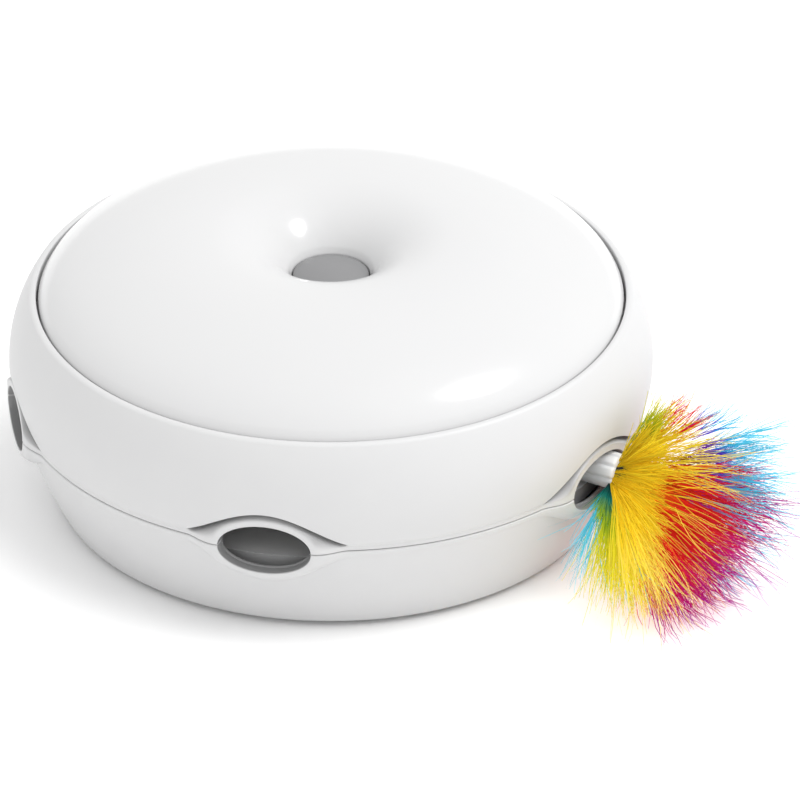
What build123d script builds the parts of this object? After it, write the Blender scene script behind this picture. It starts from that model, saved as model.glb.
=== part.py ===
from build123d import *
from math import acos, asin, cos, degrees, pi, radians, sin, sqrt, tan
import os

# Automatic cat toy: a round casing with five paw holes, a donut lid with a push button, and a feather
# wand on a motor-driven carousel. Millimetres. +Z up, the origin is on the floor under the casing's axis,
# and +X points through the hole that the wand looks out of at rest.

# Casing walls
belly_radius = 120.0
belly_height = 57.0
belly_arc_radius = 47.0
flank_break_height = 47.2
flank_arc_radius = 165.0
seam_height = 41.6
seam_chamfer = 0.4
shoulder_fillet = 2.4
rim_fillet = 0.5
foot_fillet = 2.4
casing_wall = 2.5
floor_thickness = 2.5
roof_gap = 12.5
roof_thickness = 2.5
rim_lift = 7.0
tongue_depth = 3.0
tongue_thickness = 1.2
tongue_clearance = 0.2
cut_overrun = 5.0

# Paw holes and their eyelids
hole_count = 5
hole_pitch = 68.0
hole_azimuth = -4.0
hole_half_width = 17.5
hole_half_height = 9.6
eyelid_half_width = 33.0
eyelid_half_height = 15.5
eyelid_lip_half_width = 22.0
eyelid_lip_half_height = 11.6
eyelid_lip_rise = 1.6
eyelid_root_inset = 0.4

# Donut lid
groove_gap = 0.9
lid_edge_inset = 11.2
lid_edge_drop = 0.25
lid_edge_slope = 57.4
lid_break_slope = 30.3
lid_wall = 2.2
lid_rise = 24.5
lid_dimple_width = 30.4
lid_dimple_arc_radius = 37.0
lid_edge_fillet = 1.2
lid_hole_radius = 14.6
lid_collar_wall = 2.2
lid_collar_lift = 5.4
lid_hook_count = 5
lid_hook_azimuth = 36.0
lid_hook_width = 10.0
lid_hook_thickness = 1.6
lid_hook_barb = 0.9
lid_hook_drop = 2.2
lid_hook_clearance = 0.5

# Anti-slip ring
foot_height = 2.0
foot_inset = 26.0
foot_width = 12.0
foot_edge_fillet = 0.6

# Battery tower
cell_count = 4
cell_diameter = 14.5
cell_length = 50.5
cell_ring_radius = 11.2
cell_nub_radius = 2.7
cell_nub_height = 1.0
cell_clearance = 0.4
cell_bottom = 7.0
tower_wall = 2.2
tower_thick_wall = 5.6
tower_foot_inner_radius = 28.8
tower_foot_outer_radius = 36.0
tower_foot_height = 3.6
tower_shoulder_thickness = 2.4
tower_partition_thickness = 2.5
tower_boss_radius = 3.6
tower_boss_circle = 15.0
contact_thickness = 0.5
contact_width = 9.0

# Screws
screw_count = 4
screw_shank_radius = 1.4
screw_head_radius = 2.7
screw_head_height = 1.7
screw_slip = 0.02
screw_hole_clearance = 0.3
screw_drive_width = 0.9
screw_drive_depth = 0.8
tower_screw_circle = 32.4
roof_screw_length = 9.0
board_screw_length = 3.6

# Battery door
door_radius = 24.0
door_clearance = 0.4
door_thickness = 2.2
door_hub_radius = 17.0
door_hub_height = 1.8
door_lug_reach = 2.2
door_lug_width = 12.0
door_lug_lift = 0.3
door_lug_thickness = 1.2
door_notch_turn = 60.0
door_slot_length = 26.0
door_slot_width = 2.6
door_slot_depth = 1.2

# Carousel
bush_wall = 2.0
bush_flange_radius = 28.4
bush_flange_thickness = 1.5
bush_flange_bottom = 22.5
running_clearance = 0.06
hub_outer_radius = 31.0
hub_height = 12.0
plate_bottom = 31.6
plate_thickness = 3.0
plate_inset = 9.8
skirt_wall = 2.0
skirt_drop = 3.0
drum_inset = 40.0
drum_wall = 2.5
drum_headroom = 10.0
drum_window_half_width = 9.0
drum_window_height = 13.0
thrust_gap = 0.1
retainer_gap = 0.2
retainer_thickness = 1.2
retainer_depth = 0.8
retainer_outer_radius = 25.6
retainer_slit = 10.0
stop_inset = 47.0
stop_peg_radius = 3.0
stop_peg_length = 4.5
stop_post_radius = 3.0
stop_post_top = 29.5
stop_gap = 0.35
carousel_sweep = 144.0

# Drive
gear_module = 1.25
ring_teeth = 60
pinion_teeth = 12
pressure_angle = 25.0
addendum_share = 0.8
dedendum_share = 1.05
tooth_thinning = 0.16
flank_steps = 4
gear_width = 6.0
gear_slip = 0.02
pinion_play = 0.4
motor_azimuth = 90.0
motor_body_radius = 14.0
motor_body_height = 19.0
motor_edge_fillet = 0.8
motor_shaft_offset = 8.0
motor_shaft_radius = 2.5
motor_boss_radius = 4.5
motor_boss_height = 1.3
motor_ear_pitch = 35.0
motor_ear_radius = 3.6
motor_post_radius = 3.1
motor_ear_thickness = 0.8
motor_cap_width = 16.0
motor_cap_depth = 5.0
motor_cap_height = 14.0
motor_screw_length = 7.0

# Leads held inside
lead_radius = 1.2
lead_corner_circle = 16.6
lead_height = 13.0
lead_bend_radius = 7.2
lead_hole_clearance = 0.5
lead_wall_hole_clearance = 2.4
lead_motor_run = 12.0
lead_azimuth = 135.0
lead_motor_azimuth = 225.0
battery_lead_circle = 8.0

# Wand
pivot_inset = 30.0
pin_radius = 2.0
pin_slip = 0.02
pin_lift = 8.6
pin_groove_depth = 0.5
clip_thickness = 0.8
clip_radius = 4.2
clip_gap = 0.2
arm_bush_wall = 1.2
arm_bush_flange_radius = 5.4
arm_bush_flange_thickness = 0.8
arm_lift = 0.1
arm_boss_radius = 5.6
arm_boss_lift = 6.8
arm_inset = 21.0
arm_width = 9.0
arm_height = 8.0
arm_tail_inset = 48.0
arm_tail_width = 4.0
arm_tail_height = 5.0
spigot_radius = 2.5
spigot_inset = 12.0
spigot_slip = 0.05
spring_strip = 0.4
spring_play = 0.25
spring_back_inset = 58.0
spring_reach_inset = 41.0
spring_height = 6.0
spring_post_length = 4.0
sleeve_overhang = 3.0
sleeve_radius = 6.8
sleeve_flute_count = 8
sleeve_flute_radius = 1.1

# Feather plumes
tie_radius = 4.6
tie_length = 3.4
tie_ball_radius = 5.4
plume_seat_gap = 0.3
plume_thickness = 0.8
plume_quill_width = 1.2
plume_reach = 84.0
plume_side_reach = 47.0
plume_height_reach = 38.0
plume_width_share = 0.42
plume_barb_count = 9
plume_barb_sweep_share = 0.07
plume_belly_share = 1.2
plume_valley_share = 0.42
plume_stagger_share = 0.5
plume_lean = 10.0
plume_angles = {
    "plumes_scarlet": (9.0, 25.0),
    "plumes_violet": (41.0,),
    "plumes_gold": (57.0, 73.0),
    "plumes_lime": (89.0,),
}
plume_counts = {
    "plumes_scarlet": (2, 4),
    "plumes_violet": (5,),
    "plumes_gold": (7, 8),
    "plumes_lime": (9,),
}

# Control board and button
board_radius = 30.0
board_thickness = 1.6
board_standoff = 2.5
board_standoff_radius = 3.2
board_screw_count = 3
board_screw_circle = 25.5
chip_circle = 19.5
chip_azimuths = (10.0, 125.0, 235.0, 330.0)
chip_length = 8.0
chip_width = 5.0
chip_height = 1.8
button_gap = 0.4
button_edge_lift = 10.8
button_crown_rise = 3.0
button_wall = 1.8
button_flange_reach = 1.8
button_flange_thickness = 1.2
button_flange_gap = 0.3
button_stem_radius = 4.0
dome_base_radius = 9.0
dome_top_radius = 4.6
dome_wall = 0.9
dome_lip_height = 0.8
dome_height = 3.5

# Worked-out places
base_bottom = foot_height
floor_top = base_bottom + floor_thickness
cell_top = cell_bottom + cell_length
partition_bottom = cell_top + cell_nub_height + contact_thickness
partition_top = partition_bottom + tower_partition_thickness
roof_bottom = partition_top + roof_gap
roof_height = roof_bottom + roof_thickness
rim_height = roof_height + rim_lift
belly_center = (belly_radius - belly_arc_radius, belly_height)
flank_angle = -degrees(asin((belly_height - flank_break_height) / belly_arc_radius))
flank_run = belly_arc_radius - flank_arc_radius
flank_center = (
    belly_center[0] + flank_run * cos(radians(flank_angle)),
    belly_center[1] + flank_run * sin(radians(flank_angle)),
)
lid_edge_radius = belly_radius - lid_edge_inset
hook_circle = lid_edge_radius - lid_wall - lid_hook_thickness / 2
groove_radius = lid_edge_radius + groove_gap
eyelid_lip_radius = belly_radius + eyelid_lip_rise
foot_outer_radius = belly_radius - foot_inset
foot_inner_radius = foot_outer_radius - foot_width
hole_span = (hole_count - 1) * hole_pitch
hole_start = hole_azimuth - hole_span / 2
tower_bore = cell_ring_radius + cell_diameter / 2 + cell_clearance
tower_radius = tower_bore + tower_wall
tower_thick_radius = tower_bore + tower_thick_wall
bush_radius = tower_radius + bush_wall
bush_bottom = bush_flange_bottom + bush_flange_thickness
plate_top = plate_bottom + plate_thickness
hub_top = bush_bottom + hub_height
plate_radius = belly_radius - plate_inset
drum_outer_radius = belly_radius - drum_inset
drum_top = roof_bottom - drum_headroom
stop_circle = belly_radius - stop_inset
ring_pitch_radius = gear_module * ring_teeth / 2
pinion_pitch_radius = gear_module * pinion_teeth / 2
gear_centers = ring_pitch_radius + pinion_pitch_radius
motor_top = floor_top + motor_body_height
motor_center = gear_centers + motor_shaft_offset
wand_height = seam_height
pivot_radius = belly_radius - pivot_inset
pin_top = wand_height + pin_lift
arm_boss_top = wand_height + arm_boss_lift
arm_reach = belly_radius - arm_inset
arm_tail_reach = belly_radius - arm_tail_inset
spigot_tip = belly_radius - spigot_inset
spring_back = belly_radius - spring_back_inset
spring_reach = belly_radius - spring_reach_inset
sleeve_tip = belly_radius + sleeve_overhang
board_bottom = roof_height + board_standoff
board_top = board_bottom + board_thickness
button_radius = lid_hole_radius - button_gap
button_edge_height = board_top + button_edge_lift
button_crown_height = button_edge_height + button_crown_rise
lid_collar_bottom = board_top + lid_collar_lift
lid_crown_height = rim_height + lid_rise
lid_crown_radius = lid_hole_radius + lid_dimple_width
tie_end = sleeve_tip + tie_length
plume_root = tie_end


def wall_point(height, inset=0.0):
    """Radius and height of the casing's wall, or of a line inset from it, as a point of the section."""
    if height >= flank_break_height:
        center, radius = belly_center, belly_arc_radius - inset
    else:
        center, radius = flank_center, flank_arc_radius - inset
    return (center[0] + sqrt(radius**2 - (height - center[1]) ** 2), height)


def circle_point(center, radius, angle):
    """Point of a circle in the section, at an angle in degrees."""
    return (center[0] + radius * cos(radians(angle)), center[1] + radius * sin(radians(angle)))


def polar_point(radius, azimuth):
    """Point in plan at a radius and an azimuth in degrees."""
    return (radius * cos(radians(azimuth)), radius * sin(radians(azimuth)))


def export(piece, name):
    """Label one finished piece and write its file."""
    piece.part.label = name
    export_step(piece.part, f"parts/{name}.step")


def wall_line(low, high, inset=0.0):
    """Draw the casing's wall line between two heights, one below and one above the flank's break."""
    bend = circle_point(belly_center, belly_arc_radius - inset, flank_angle)
    ThreePointArc(wall_point(low, inset), wall_point((low + bend[1]) / 2, inset), bend)
    ThreePointArc(bend, wall_point((bend[1] + high) / 2, inset), wall_point(high, inset))


def radial_plane(radius, height):
    """Plane square to +X at a radius, with its own x along +Y and its y up."""
    return Plane(origin=(radius, 0, height), x_dir=(0, 1, 0), z_dir=(1, 0, 0))


def involute(angle):
    """Involute function of an angle in radians."""
    return tan(angle) - angle


def gear_points(teeth, turn):
    """Outline of a spur gear whose first tooth points along the angle turn, in degrees."""
    pitch = gear_module * teeth / 2
    base = pitch * cos(radians(pressure_angle))
    tip = pitch + addendum_share * gear_module
    root = pitch - dedendum_share * gear_module
    half_tooth = (pi * gear_module / 2 - tooth_thinning) / (2 * pitch)
    low = max(base, root)
    flank = []
    for step in range(flank_steps + 1):
        radius = low + (tip - low) * step / flank_steps
        roll = acos(min(1.0, base / radius))
        flank.append((radius, half_tooth + involute(radians(pressure_angle)) - involute(roll)))
    if base > root:
        flank.insert(0, (root, flank[0][1]))
    points = []
    for tooth in range(teeth):
        middle = radians(turn) + 2 * pi * tooth / teeth
        points += [(r * cos(middle - a), r * sin(middle - a)) for r, a in flank]
        points += [(r * cos(middle + a), r * sin(middle + a)) for r, a in reversed(flank)]
    return points


def screws(head_end, length, places, way):
    """One screw at each place in plan, its slotted head's end at a height, pointing up (1) or down (-1)."""
    with BuildPart() as group:
        with BuildSketch(Plane.XY.offset(head_end)):
            with Locations(*places):
                Circle(screw_head_radius)
        extrude(amount=screw_head_height * way)
        with BuildSketch(Plane.XY.offset(head_end + screw_head_height * way)):
            with Locations(*places):
                Circle(screw_shank_radius)
        extrude(amount=length * way)
        with BuildSketch(Plane.XY.offset(head_end)):
            with Locations(*places):
                Rectangle(2 * screw_head_radius, screw_drive_width)
        extrude(amount=screw_drive_depth * way, mode=Mode.SUBTRACT)
    return group


def plume_half_width(share, length):
    """Half the width of a plume's vane at a share of its length."""
    return plume_width_share * length / 2 * sin(pi * share**plume_belly_share)


def plume_points(length):
    """Saw-edged outline of one plume: a quill that widens into swept barbs and ends in a point."""
    side = []
    for barb in range(plume_barb_count):
        valley = (barb + 1) / (plume_barb_count + 1) - plume_barb_sweep_share / 2
        tip = valley + plume_barb_sweep_share
        valley_width = plume_valley_share * plume_half_width(valley, length)
        side.append((valley * length, plume_quill_width / 2 + valley_width))
        side.append((tip * length, plume_quill_width / 2 + plume_half_width(tip, length)))
    lower = [(0, -plume_quill_width / 2)] + [(along, -across) for along, across in side]
    upper = [(along, across) for along, across in reversed(side)] + [(0, plume_quill_width / 2)]
    return lower + [(length, 0)] + upper


def plume_plane_and_length(polar, azimuth):
    """Plane that one plume lies in, from its seat on the tie, and its length inside the egg-shaped tuft."""
    lean = radians(plume_lean)
    ahead = Vector(cos(lean), -sin(lean), 0)
    aside = Vector(sin(lean), cos(lean), 0)
    up = Vector(0, 0, 1)
    along = ahead * cos(polar) + (up * cos(azimuth) + aside * sin(azimuth)) * sin(polar)
    across = aside * cos(azimuth) - up * sin(azimuth)
    start = tie_ball_radius + plume_seat_gap
    stretch = sqrt(
        (cos(polar) / plume_reach) ** 2
        + (sin(polar) * sin(azimuth) / plume_side_reach) ** 2
        + (sin(polar) * cos(azimuth) / plume_height_reach) ** 2
    )
    origin = Vector(plume_root, 0, wand_height) + along * start
    return Plane(origin=origin, x_dir=along, z_dir=along.cross(across)), 1 / stretch - start


os.makedirs("parts", exist_ok=True)

# Cutters and forms that both shells share
with BuildPart() as cavity:
    with BuildSketch(Plane.XZ):
        with BuildLine():
            Polyline((0, roof_bottom), (0, floor_top), wall_point(floor_top, casing_wall))
            wall_line(floor_top, roof_bottom, casing_wall)
            Line(wall_point(roof_bottom, casing_wall), (0, roof_bottom))
        make_face()
    revolve(axis=Axis.Z)

eyelid_root_radius = sqrt(wall_point(seam_height)[0] ** 2 - eyelid_half_width**2) - eyelid_root_inset

with BuildPart() as eyelid:
    with BuildSketch(radial_plane(eyelid_root_radius, seam_height)):
        with BuildLine():
            ThreePointArc((-eyelid_half_width, 0), (0, eyelid_half_height), (eyelid_half_width, 0))
            ThreePointArc((eyelid_half_width, 0), (0, -eyelid_half_height), (-eyelid_half_width, 0))
        make_face()
    with BuildSketch(radial_plane(eyelid_lip_radius, seam_height)):
        with BuildLine():
            ThreePointArc((-eyelid_lip_half_width, 0), (0, eyelid_lip_half_height), (eyelid_lip_half_width, 0))
            ThreePointArc((eyelid_lip_half_width, 0), (0, -eyelid_lip_half_height), (-eyelid_lip_half_width, 0))
        make_face()
    loft()

with BuildPart() as paw_hole:
    with BuildSketch(radial_plane(drum_outer_radius, seam_height)):
        Ellipse(hole_half_width, hole_half_height)
    extrude(amount=eyelid_lip_radius + cut_overrun - drum_outer_radius)

# Places in plan that more than one piece uses
tower_screw_places = [polar_point(tower_screw_circle, 45 + 360 * i / screw_count) for i in range(screw_count)]
roof_screw_places = [polar_point(tower_boss_circle, 360 * i / screw_count) for i in range(screw_count)]
board_screw_places = [
    polar_point(board_screw_circle, 60 + 360 * i / board_screw_count) for i in range(board_screw_count)
]
motor_screw_places = [(-motor_ear_pitch / 2, motor_center), (motor_ear_pitch / 2, motor_center)]
cell_places = [polar_point(cell_ring_radius, 360 * i / cell_count) for i in range(cell_count)]
lead_corner = polar_point(lead_corner_circle, lead_azimuth)
battery_lead_places = [(battery_lead_circle, 0), (0, -battery_lead_circle)]
stop_peg_azimuth = 180 - carousel_sweep - degrees((stop_peg_radius + stop_post_radius + stop_gap) / stop_circle)
motor_lead_side = Vector(*polar_point(motor_body_radius, lead_motor_azimuth))
motor_lead_start = Vector(0, motor_center, lead_height) + motor_lead_side
motor_lead_knee = motor_lead_start + Vector(
    lead_motor_run * cos(radians(lead_motor_azimuth)), lead_motor_run * sin(radians(lead_motor_azimuth)), 0
)
motor_lead_corner = Vector(lead_corner[0], lead_corner[1], lead_height)

# Lower half of the casing
with BuildPart() as base_shell:
    with BuildSketch(Plane.XZ) as base_section:
        with BuildLine():
            Polyline(wall_point(seam_height), (0, seam_height), (0, base_bottom), wall_point(base_bottom))
            ThreePointArc(
                wall_point(base_bottom), wall_point((base_bottom + seam_height) / 2), wall_point(seam_height)
            )
        make_face()
        fillet(base_section.vertices().sort_by_distance(wall_point(base_bottom))[0], foot_fillet)
        chamfer(base_section.vertices().sort_by_distance(wall_point(seam_height))[0], seam_chamfer)
    revolve(axis=Axis.Z)
    with PolarLocations(0, hole_count, hole_start, hole_span, endpoint=True):
        add(eyelid.part)
    split(bisect_by=Plane.XY.offset(seam_height), keep=Keep.BOTTOM)
    add(cavity.part, mode=Mode.SUBTRACT)
    with PolarLocations(0, hole_count, hole_start, hole_span, endpoint=True):
        add(paw_hole.part, mode=Mode.SUBTRACT)
    with BuildSketch(Plane.XY.offset(floor_top)):
        with Locations(polar_point(stop_circle, 180)):
            Circle(stop_post_radius)
    extrude(amount=stop_post_top - floor_top)
    with BuildSketch(Plane.XY.offset(floor_top)):
        with Locations(*motor_screw_places):
            Circle(motor_post_radius)
    extrude(amount=motor_body_height - motor_ear_thickness)
    with BuildSketch(Plane.XY.offset(motor_top)):
        with Locations(*motor_screw_places):
            Circle(screw_shank_radius + screw_slip)
    extrude(amount=-motor_screw_length - motor_ear_thickness, mode=Mode.SUBTRACT)
    with BuildSketch(Plane.XY.offset(base_bottom)):
        Circle(door_radius + door_clearance)
        Rectangle(
            2 * (door_radius + 2 * door_clearance + door_lug_reach), door_lug_width + 2 * door_clearance,
            rotation=door_notch_turn,
        )
    extrude(amount=floor_thickness, mode=Mode.SUBTRACT)
    with BuildSketch(Plane.XY.offset(base_bottom)):
        with Locations(*tower_screw_places):
            Circle(screw_shank_radius + screw_hole_clearance)
    extrude(amount=floor_thickness, mode=Mode.SUBTRACT)
    with BuildSketch(Plane.XY.offset(base_bottom)):
        with Locations(*tower_screw_places):
            Circle(screw_head_radius + screw_hole_clearance)
    extrude(amount=screw_head_height, mode=Mode.SUBTRACT)
export(base_shell, "base_shell")

# Upper half of the casing, with the recessed roof under the lid
with BuildPart() as upper_shell:
    with BuildSketch(Plane.XZ) as upper_section:
        with BuildLine():
            wall_line(seam_height, rim_height)
            Polyline(
                wall_point(rim_height),
                (groove_radius, rim_height),
                (groove_radius, roof_height),
                (0, roof_height),
                (0, seam_height),
                wall_point(seam_height),
            )
        make_face()
        fillet(upper_section.vertices().sort_by_distance(wall_point(rim_height))[0], shoulder_fillet)
        fillet(upper_section.vertices().sort_by_distance((groove_radius, rim_height))[0], rim_fillet)
        chamfer(upper_section.vertices().sort_by_distance(wall_point(seam_height))[0], seam_chamfer)
    revolve(axis=Axis.Z)
    with PolarLocations(0, hole_count, hole_start, hole_span, endpoint=True):
        add(eyelid.part)
    split(bisect_by=Plane.XY.offset(seam_height), keep=Keep.TOP)
    add(cavity.part, mode=Mode.SUBTRACT)
    tongue_outer = wall_point(seam_height - tongue_depth, casing_wall)[0] - tongue_clearance
    tongue_root = wall_point(seam_height, casing_wall / 2)[0]
    tongue_outline = (
        (tongue_outer - tongue_thickness, seam_height - tongue_depth),
        (tongue_outer, seam_height - tongue_depth),
        (tongue_outer, seam_height),
        (tongue_root, seam_height),
        wall_point(seam_height + tongue_depth, casing_wall / 2),
        (tongue_outer - tongue_thickness, seam_height + tongue_thickness),
    )
    with BuildSketch(Plane.XZ):
        with BuildLine():
            Polyline(*tongue_outline, close=True)
        make_face()
    revolve(axis=Axis.Z)
    with PolarLocations(0, hole_count, hole_start, hole_span, endpoint=True):
        add(paw_hole.part, mode=Mode.SUBTRACT)
    with BuildSketch(Plane.XY.offset(roof_height)):
        with Locations(*board_screw_places):
            Circle(board_standoff_radius)
    extrude(amount=board_standoff)
    with BuildSketch(Plane.XY.offset(board_bottom)):
        with Locations(*board_screw_places):
            Circle(screw_shank_radius + screw_slip)
    extrude(amount=-board_screw_length + board_thickness, mode=Mode.SUBTRACT)
    with BuildSketch(Plane.XY.offset(roof_bottom)):
        with Locations(*roof_screw_places):
            Circle(screw_shank_radius + screw_hole_clearance)
        with Locations(lead_corner, *battery_lead_places):
            Circle(lead_radius + lead_hole_clearance)
        with PolarLocations(hook_circle, lid_hook_count, lid_hook_azimuth):
            Rectangle(
                lid_hook_thickness + 2 * (lid_hook_barb + lid_hook_clearance),
                lid_hook_width + 2 * lid_hook_clearance,
            )
    extrude(amount=roof_thickness, mode=Mode.SUBTRACT)
export(upper_shell, "upper_shell")

# Donut lid: its section runs from the crown to the edge in two tangent arcs, which meet at the break's slope
lid_run = lid_edge_radius - lid_crown_radius
lid_fall = lid_crown_height - rim_height + lid_edge_drop
break_run = sin(radians(lid_break_slope))
break_fall = 1 - cos(radians(lid_break_slope))
edge_run = sin(radians(lid_edge_slope)) - break_run
edge_fall = cos(radians(lid_break_slope)) - cos(radians(lid_edge_slope))
arc_share = break_run * edge_fall - edge_run * break_fall
lid_crown_arc_radius = (lid_run * edge_fall - edge_run * lid_fall) / arc_share
lid_flank_arc_radius = (break_run * lid_fall - lid_run * break_fall) / arc_share
lid_dimple_center = (lid_crown_radius, lid_crown_height - lid_dimple_arc_radius)
lid_crown_center = (lid_crown_radius, lid_crown_height - lid_crown_arc_radius)
lid_break_angle = 90 - lid_break_slope
lid_flank_center = circle_point(lid_crown_center, lid_crown_arc_radius - lid_flank_arc_radius, lid_break_angle)


def lid_section_line(inset, hole_radius, edge_radius):
    """Draw the lid's section from its hole to its edge, inset from the outer face, and return its two ends."""
    dimple_radius = lid_dimple_arc_radius - inset
    flank_radius = lid_flank_arc_radius - inset
    hole_angle = 180 - degrees(acos((lid_crown_radius - hole_radius) / dimple_radius))
    edge_angle = degrees(acos((edge_radius - lid_flank_center[0]) / flank_radius))
    CenterArc(lid_dimple_center, dimple_radius, 90, hole_angle - 90)
    CenterArc(lid_crown_center, lid_crown_arc_radius - inset, lid_break_angle, 90 - lid_break_angle)
    CenterArc(lid_flank_center, flank_radius, edge_angle, lid_break_angle - edge_angle)
    hole_end = circle_point(lid_dimple_center, dimple_radius, hole_angle)
    return hole_end, circle_point(lid_flank_center, flank_radius, edge_angle)


with BuildPart() as donut_lid:
    with BuildSketch(Plane.XZ) as lid_section:
        with BuildLine():
            hole_rim, edge_rim = lid_section_line(0, lid_hole_radius, lid_edge_radius)
            collar_root, skirt_root = lid_section_line(
                lid_wall, lid_hole_radius + lid_collar_wall, lid_edge_radius - lid_wall
            )
            Polyline(
                hole_rim, (lid_hole_radius, lid_collar_bottom), (collar_root[0], lid_collar_bottom), collar_root
            )
            Polyline(edge_rim, (lid_edge_radius, roof_height), (skirt_root[0], roof_height), skirt_root)
        make_face()
        fillet(lid_section.vertices().sort_by_distance(edge_rim)[0], lid_edge_fillet)
    revolve(axis=Axis.Z)
    with BuildSketch(Plane.XY.offset(roof_bottom - lid_hook_drop)):
        with PolarLocations(hook_circle, lid_hook_count, lid_hook_azimuth):
            Rectangle(lid_hook_thickness, lid_hook_width)
    extrude(amount=roof_thickness + lid_hook_drop + lid_hook_width / 2)
    with BuildSketch(Plane.XY.offset(roof_bottom - lid_hook_drop)):
        barb_circle = hook_circle + lid_hook_thickness / 2 + lid_hook_barb / 2
        with PolarLocations(barb_circle, lid_hook_count, lid_hook_azimuth):
            Rectangle(lid_hook_barb, lid_hook_width)
    extrude(amount=lid_hook_drop - lid_hook_clearance)
export(donut_lid, "donut_lid")

# Rubber ring that the toy stands on
with BuildPart() as anti_slip_ring:
    with BuildSketch():
        Circle(foot_outer_radius)
        Circle(foot_inner_radius, mode=Mode.SUBTRACT)
    extrude(amount=foot_height)
    fillet(anti_slip_ring.edges().group_by(Axis.Z)[0], foot_edge_fillet)
export(anti_slip_ring, "anti_slip_ring")

# Battery tower in the middle, which also carries the roof and the carousel
with BuildPart() as battery_tower:
    with BuildSketch(Plane.XZ):
        shoulder_bottom = floor_top + tower_foot_height
        shoulder_top = shoulder_bottom + tower_shoulder_thickness
        groove_bottom = hub_top + retainer_gap
        tower_outline = (
            (tower_bore, shoulder_bottom),
            (tower_foot_inner_radius, shoulder_bottom),
            (tower_foot_inner_radius, floor_top),
            (tower_foot_outer_radius, floor_top),
            (tower_foot_outer_radius, shoulder_top),
            (tower_thick_radius, shoulder_top),
            (tower_thick_radius, bush_flange_bottom),
            (tower_radius, bush_flange_bottom),
            (tower_radius, groove_bottom),
            (tower_radius - retainer_depth, groove_bottom),
            (tower_radius - retainer_depth, groove_bottom + retainer_thickness),
            (tower_radius, groove_bottom + retainer_thickness),
            (tower_radius, partition_top),
            (0, partition_top),
            (0, partition_bottom),
            (tower_bore, partition_bottom),
        )
        with BuildLine():
            Polyline(*tower_outline, close=True)
        make_face()
    revolve(axis=Axis.Z)
    with BuildSketch(Plane.XY.offset(partition_top)):
        with Locations(*roof_screw_places):
            Circle(tower_boss_radius)
    extrude(amount=roof_bottom - partition_top)
    with BuildSketch(Plane.XY.offset(roof_bottom)):
        with Locations(*roof_screw_places):
            Circle(screw_shank_radius + screw_slip)
    extrude(amount=roof_thickness - roof_screw_length, mode=Mode.SUBTRACT)
    with BuildSketch(Plane.XY.offset(floor_top)):
        with Locations(*tower_screw_places):
            Circle(screw_shank_radius + screw_slip)
    extrude(amount=tower_foot_height, mode=Mode.SUBTRACT)
    with BuildSketch(Plane.XY.offset(partition_bottom)):
        with Locations(lead_corner, *battery_lead_places):
            Circle(lead_radius + lead_hole_clearance)
    extrude(amount=tower_partition_thickness, mode=Mode.SUBTRACT)
    with BuildSketch(Plane(origin=motor_lead_corner, z_dir=motor_lead_knee - motor_lead_corner)):
        Circle(lead_radius + lead_wall_hole_clearance)
    extrude(amount=(motor_lead_knee - motor_lead_corner).length, mode=Mode.SUBTRACT)
export(battery_tower, "battery_tower")

with BuildPart() as battery_cells:
    with BuildSketch(Plane.XY.offset(cell_bottom)):
        with Locations(*cell_places):
            Circle(cell_diameter / 2)
    extrude(amount=cell_length)
    with BuildSketch(Plane.XY.offset(cell_top)):
        with Locations(*cell_places):
            Circle(cell_nub_radius)
    extrude(amount=cell_nub_height)
export(battery_cells, "battery_cells")

with BuildPart() as upper_contacts:
    with BuildSketch(Plane.XY.offset(partition_bottom - contact_thickness)):
        with Locations(cell_places[0], cell_places[3]):
            Circle(contact_width / 2)
        with Locations(polar_point(cell_ring_radius * cos(radians(45)), 135)):
            SlotCenterToCenter(cell_ring_radius * sqrt(2), contact_width, rotation=45)
    extrude(amount=contact_thickness)
export(upper_contacts, "upper_contacts")

with BuildPart() as battery_leads:
    with BuildSketch(Plane.XY.offset(partition_bottom)):
        with Locations(*battery_lead_places):
            Circle(lead_radius)
    extrude(amount=board_bottom - partition_bottom)
export(battery_leads, "battery_leads")

# Screws
tower_screw_shank = floor_thickness + tower_foot_height - screw_head_height
export(screws(base_bottom, tower_screw_shank, tower_screw_places, 1), "tower_screws")
export(screws(roof_height + screw_head_height, roof_screw_length, roof_screw_places, -1), "roof_screws")
export(screws(board_top + screw_head_height, board_screw_length, board_screw_places, -1), "board_screws")
export(screws(motor_top + screw_head_height, motor_screw_length, motor_screw_places, -1), "motor_screws")

# Twist-lock battery door
with BuildPart() as battery_door:
    with BuildSketch(Plane.XY.offset(base_bottom)):
        Circle(door_radius)
    extrude(amount=door_thickness)
    with BuildSketch(Plane.XY.offset(base_bottom + door_thickness)):
        Circle(door_hub_radius)
    extrude(amount=door_hub_height)
    with BuildSketch(Plane.XY.offset(floor_top + door_lug_lift)):
        Rectangle(2 * (door_radius + door_clearance + door_lug_reach), door_lug_width)
    extrude(amount=door_lug_thickness)
    with BuildSketch(Plane.XY.offset(base_bottom)):
        SlotOverall(door_slot_length, door_slot_width)
    extrude(amount=door_slot_depth, mode=Mode.SUBTRACT)
export(battery_door, "battery_door")

with BuildPart() as door_contacts:
    with BuildSketch(Plane.XY.offset(base_bottom + door_thickness + door_hub_height)):
        for azimuth in (45, 225):
            with Locations(polar_point(cell_ring_radius * cos(radians(45)), azimuth)):
                SlotCenterToCenter(cell_ring_radius * sqrt(2), contact_width, rotation=azimuth + 90)
    extrude(amount=contact_thickness)
export(door_contacts, "door_contacts")

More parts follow.
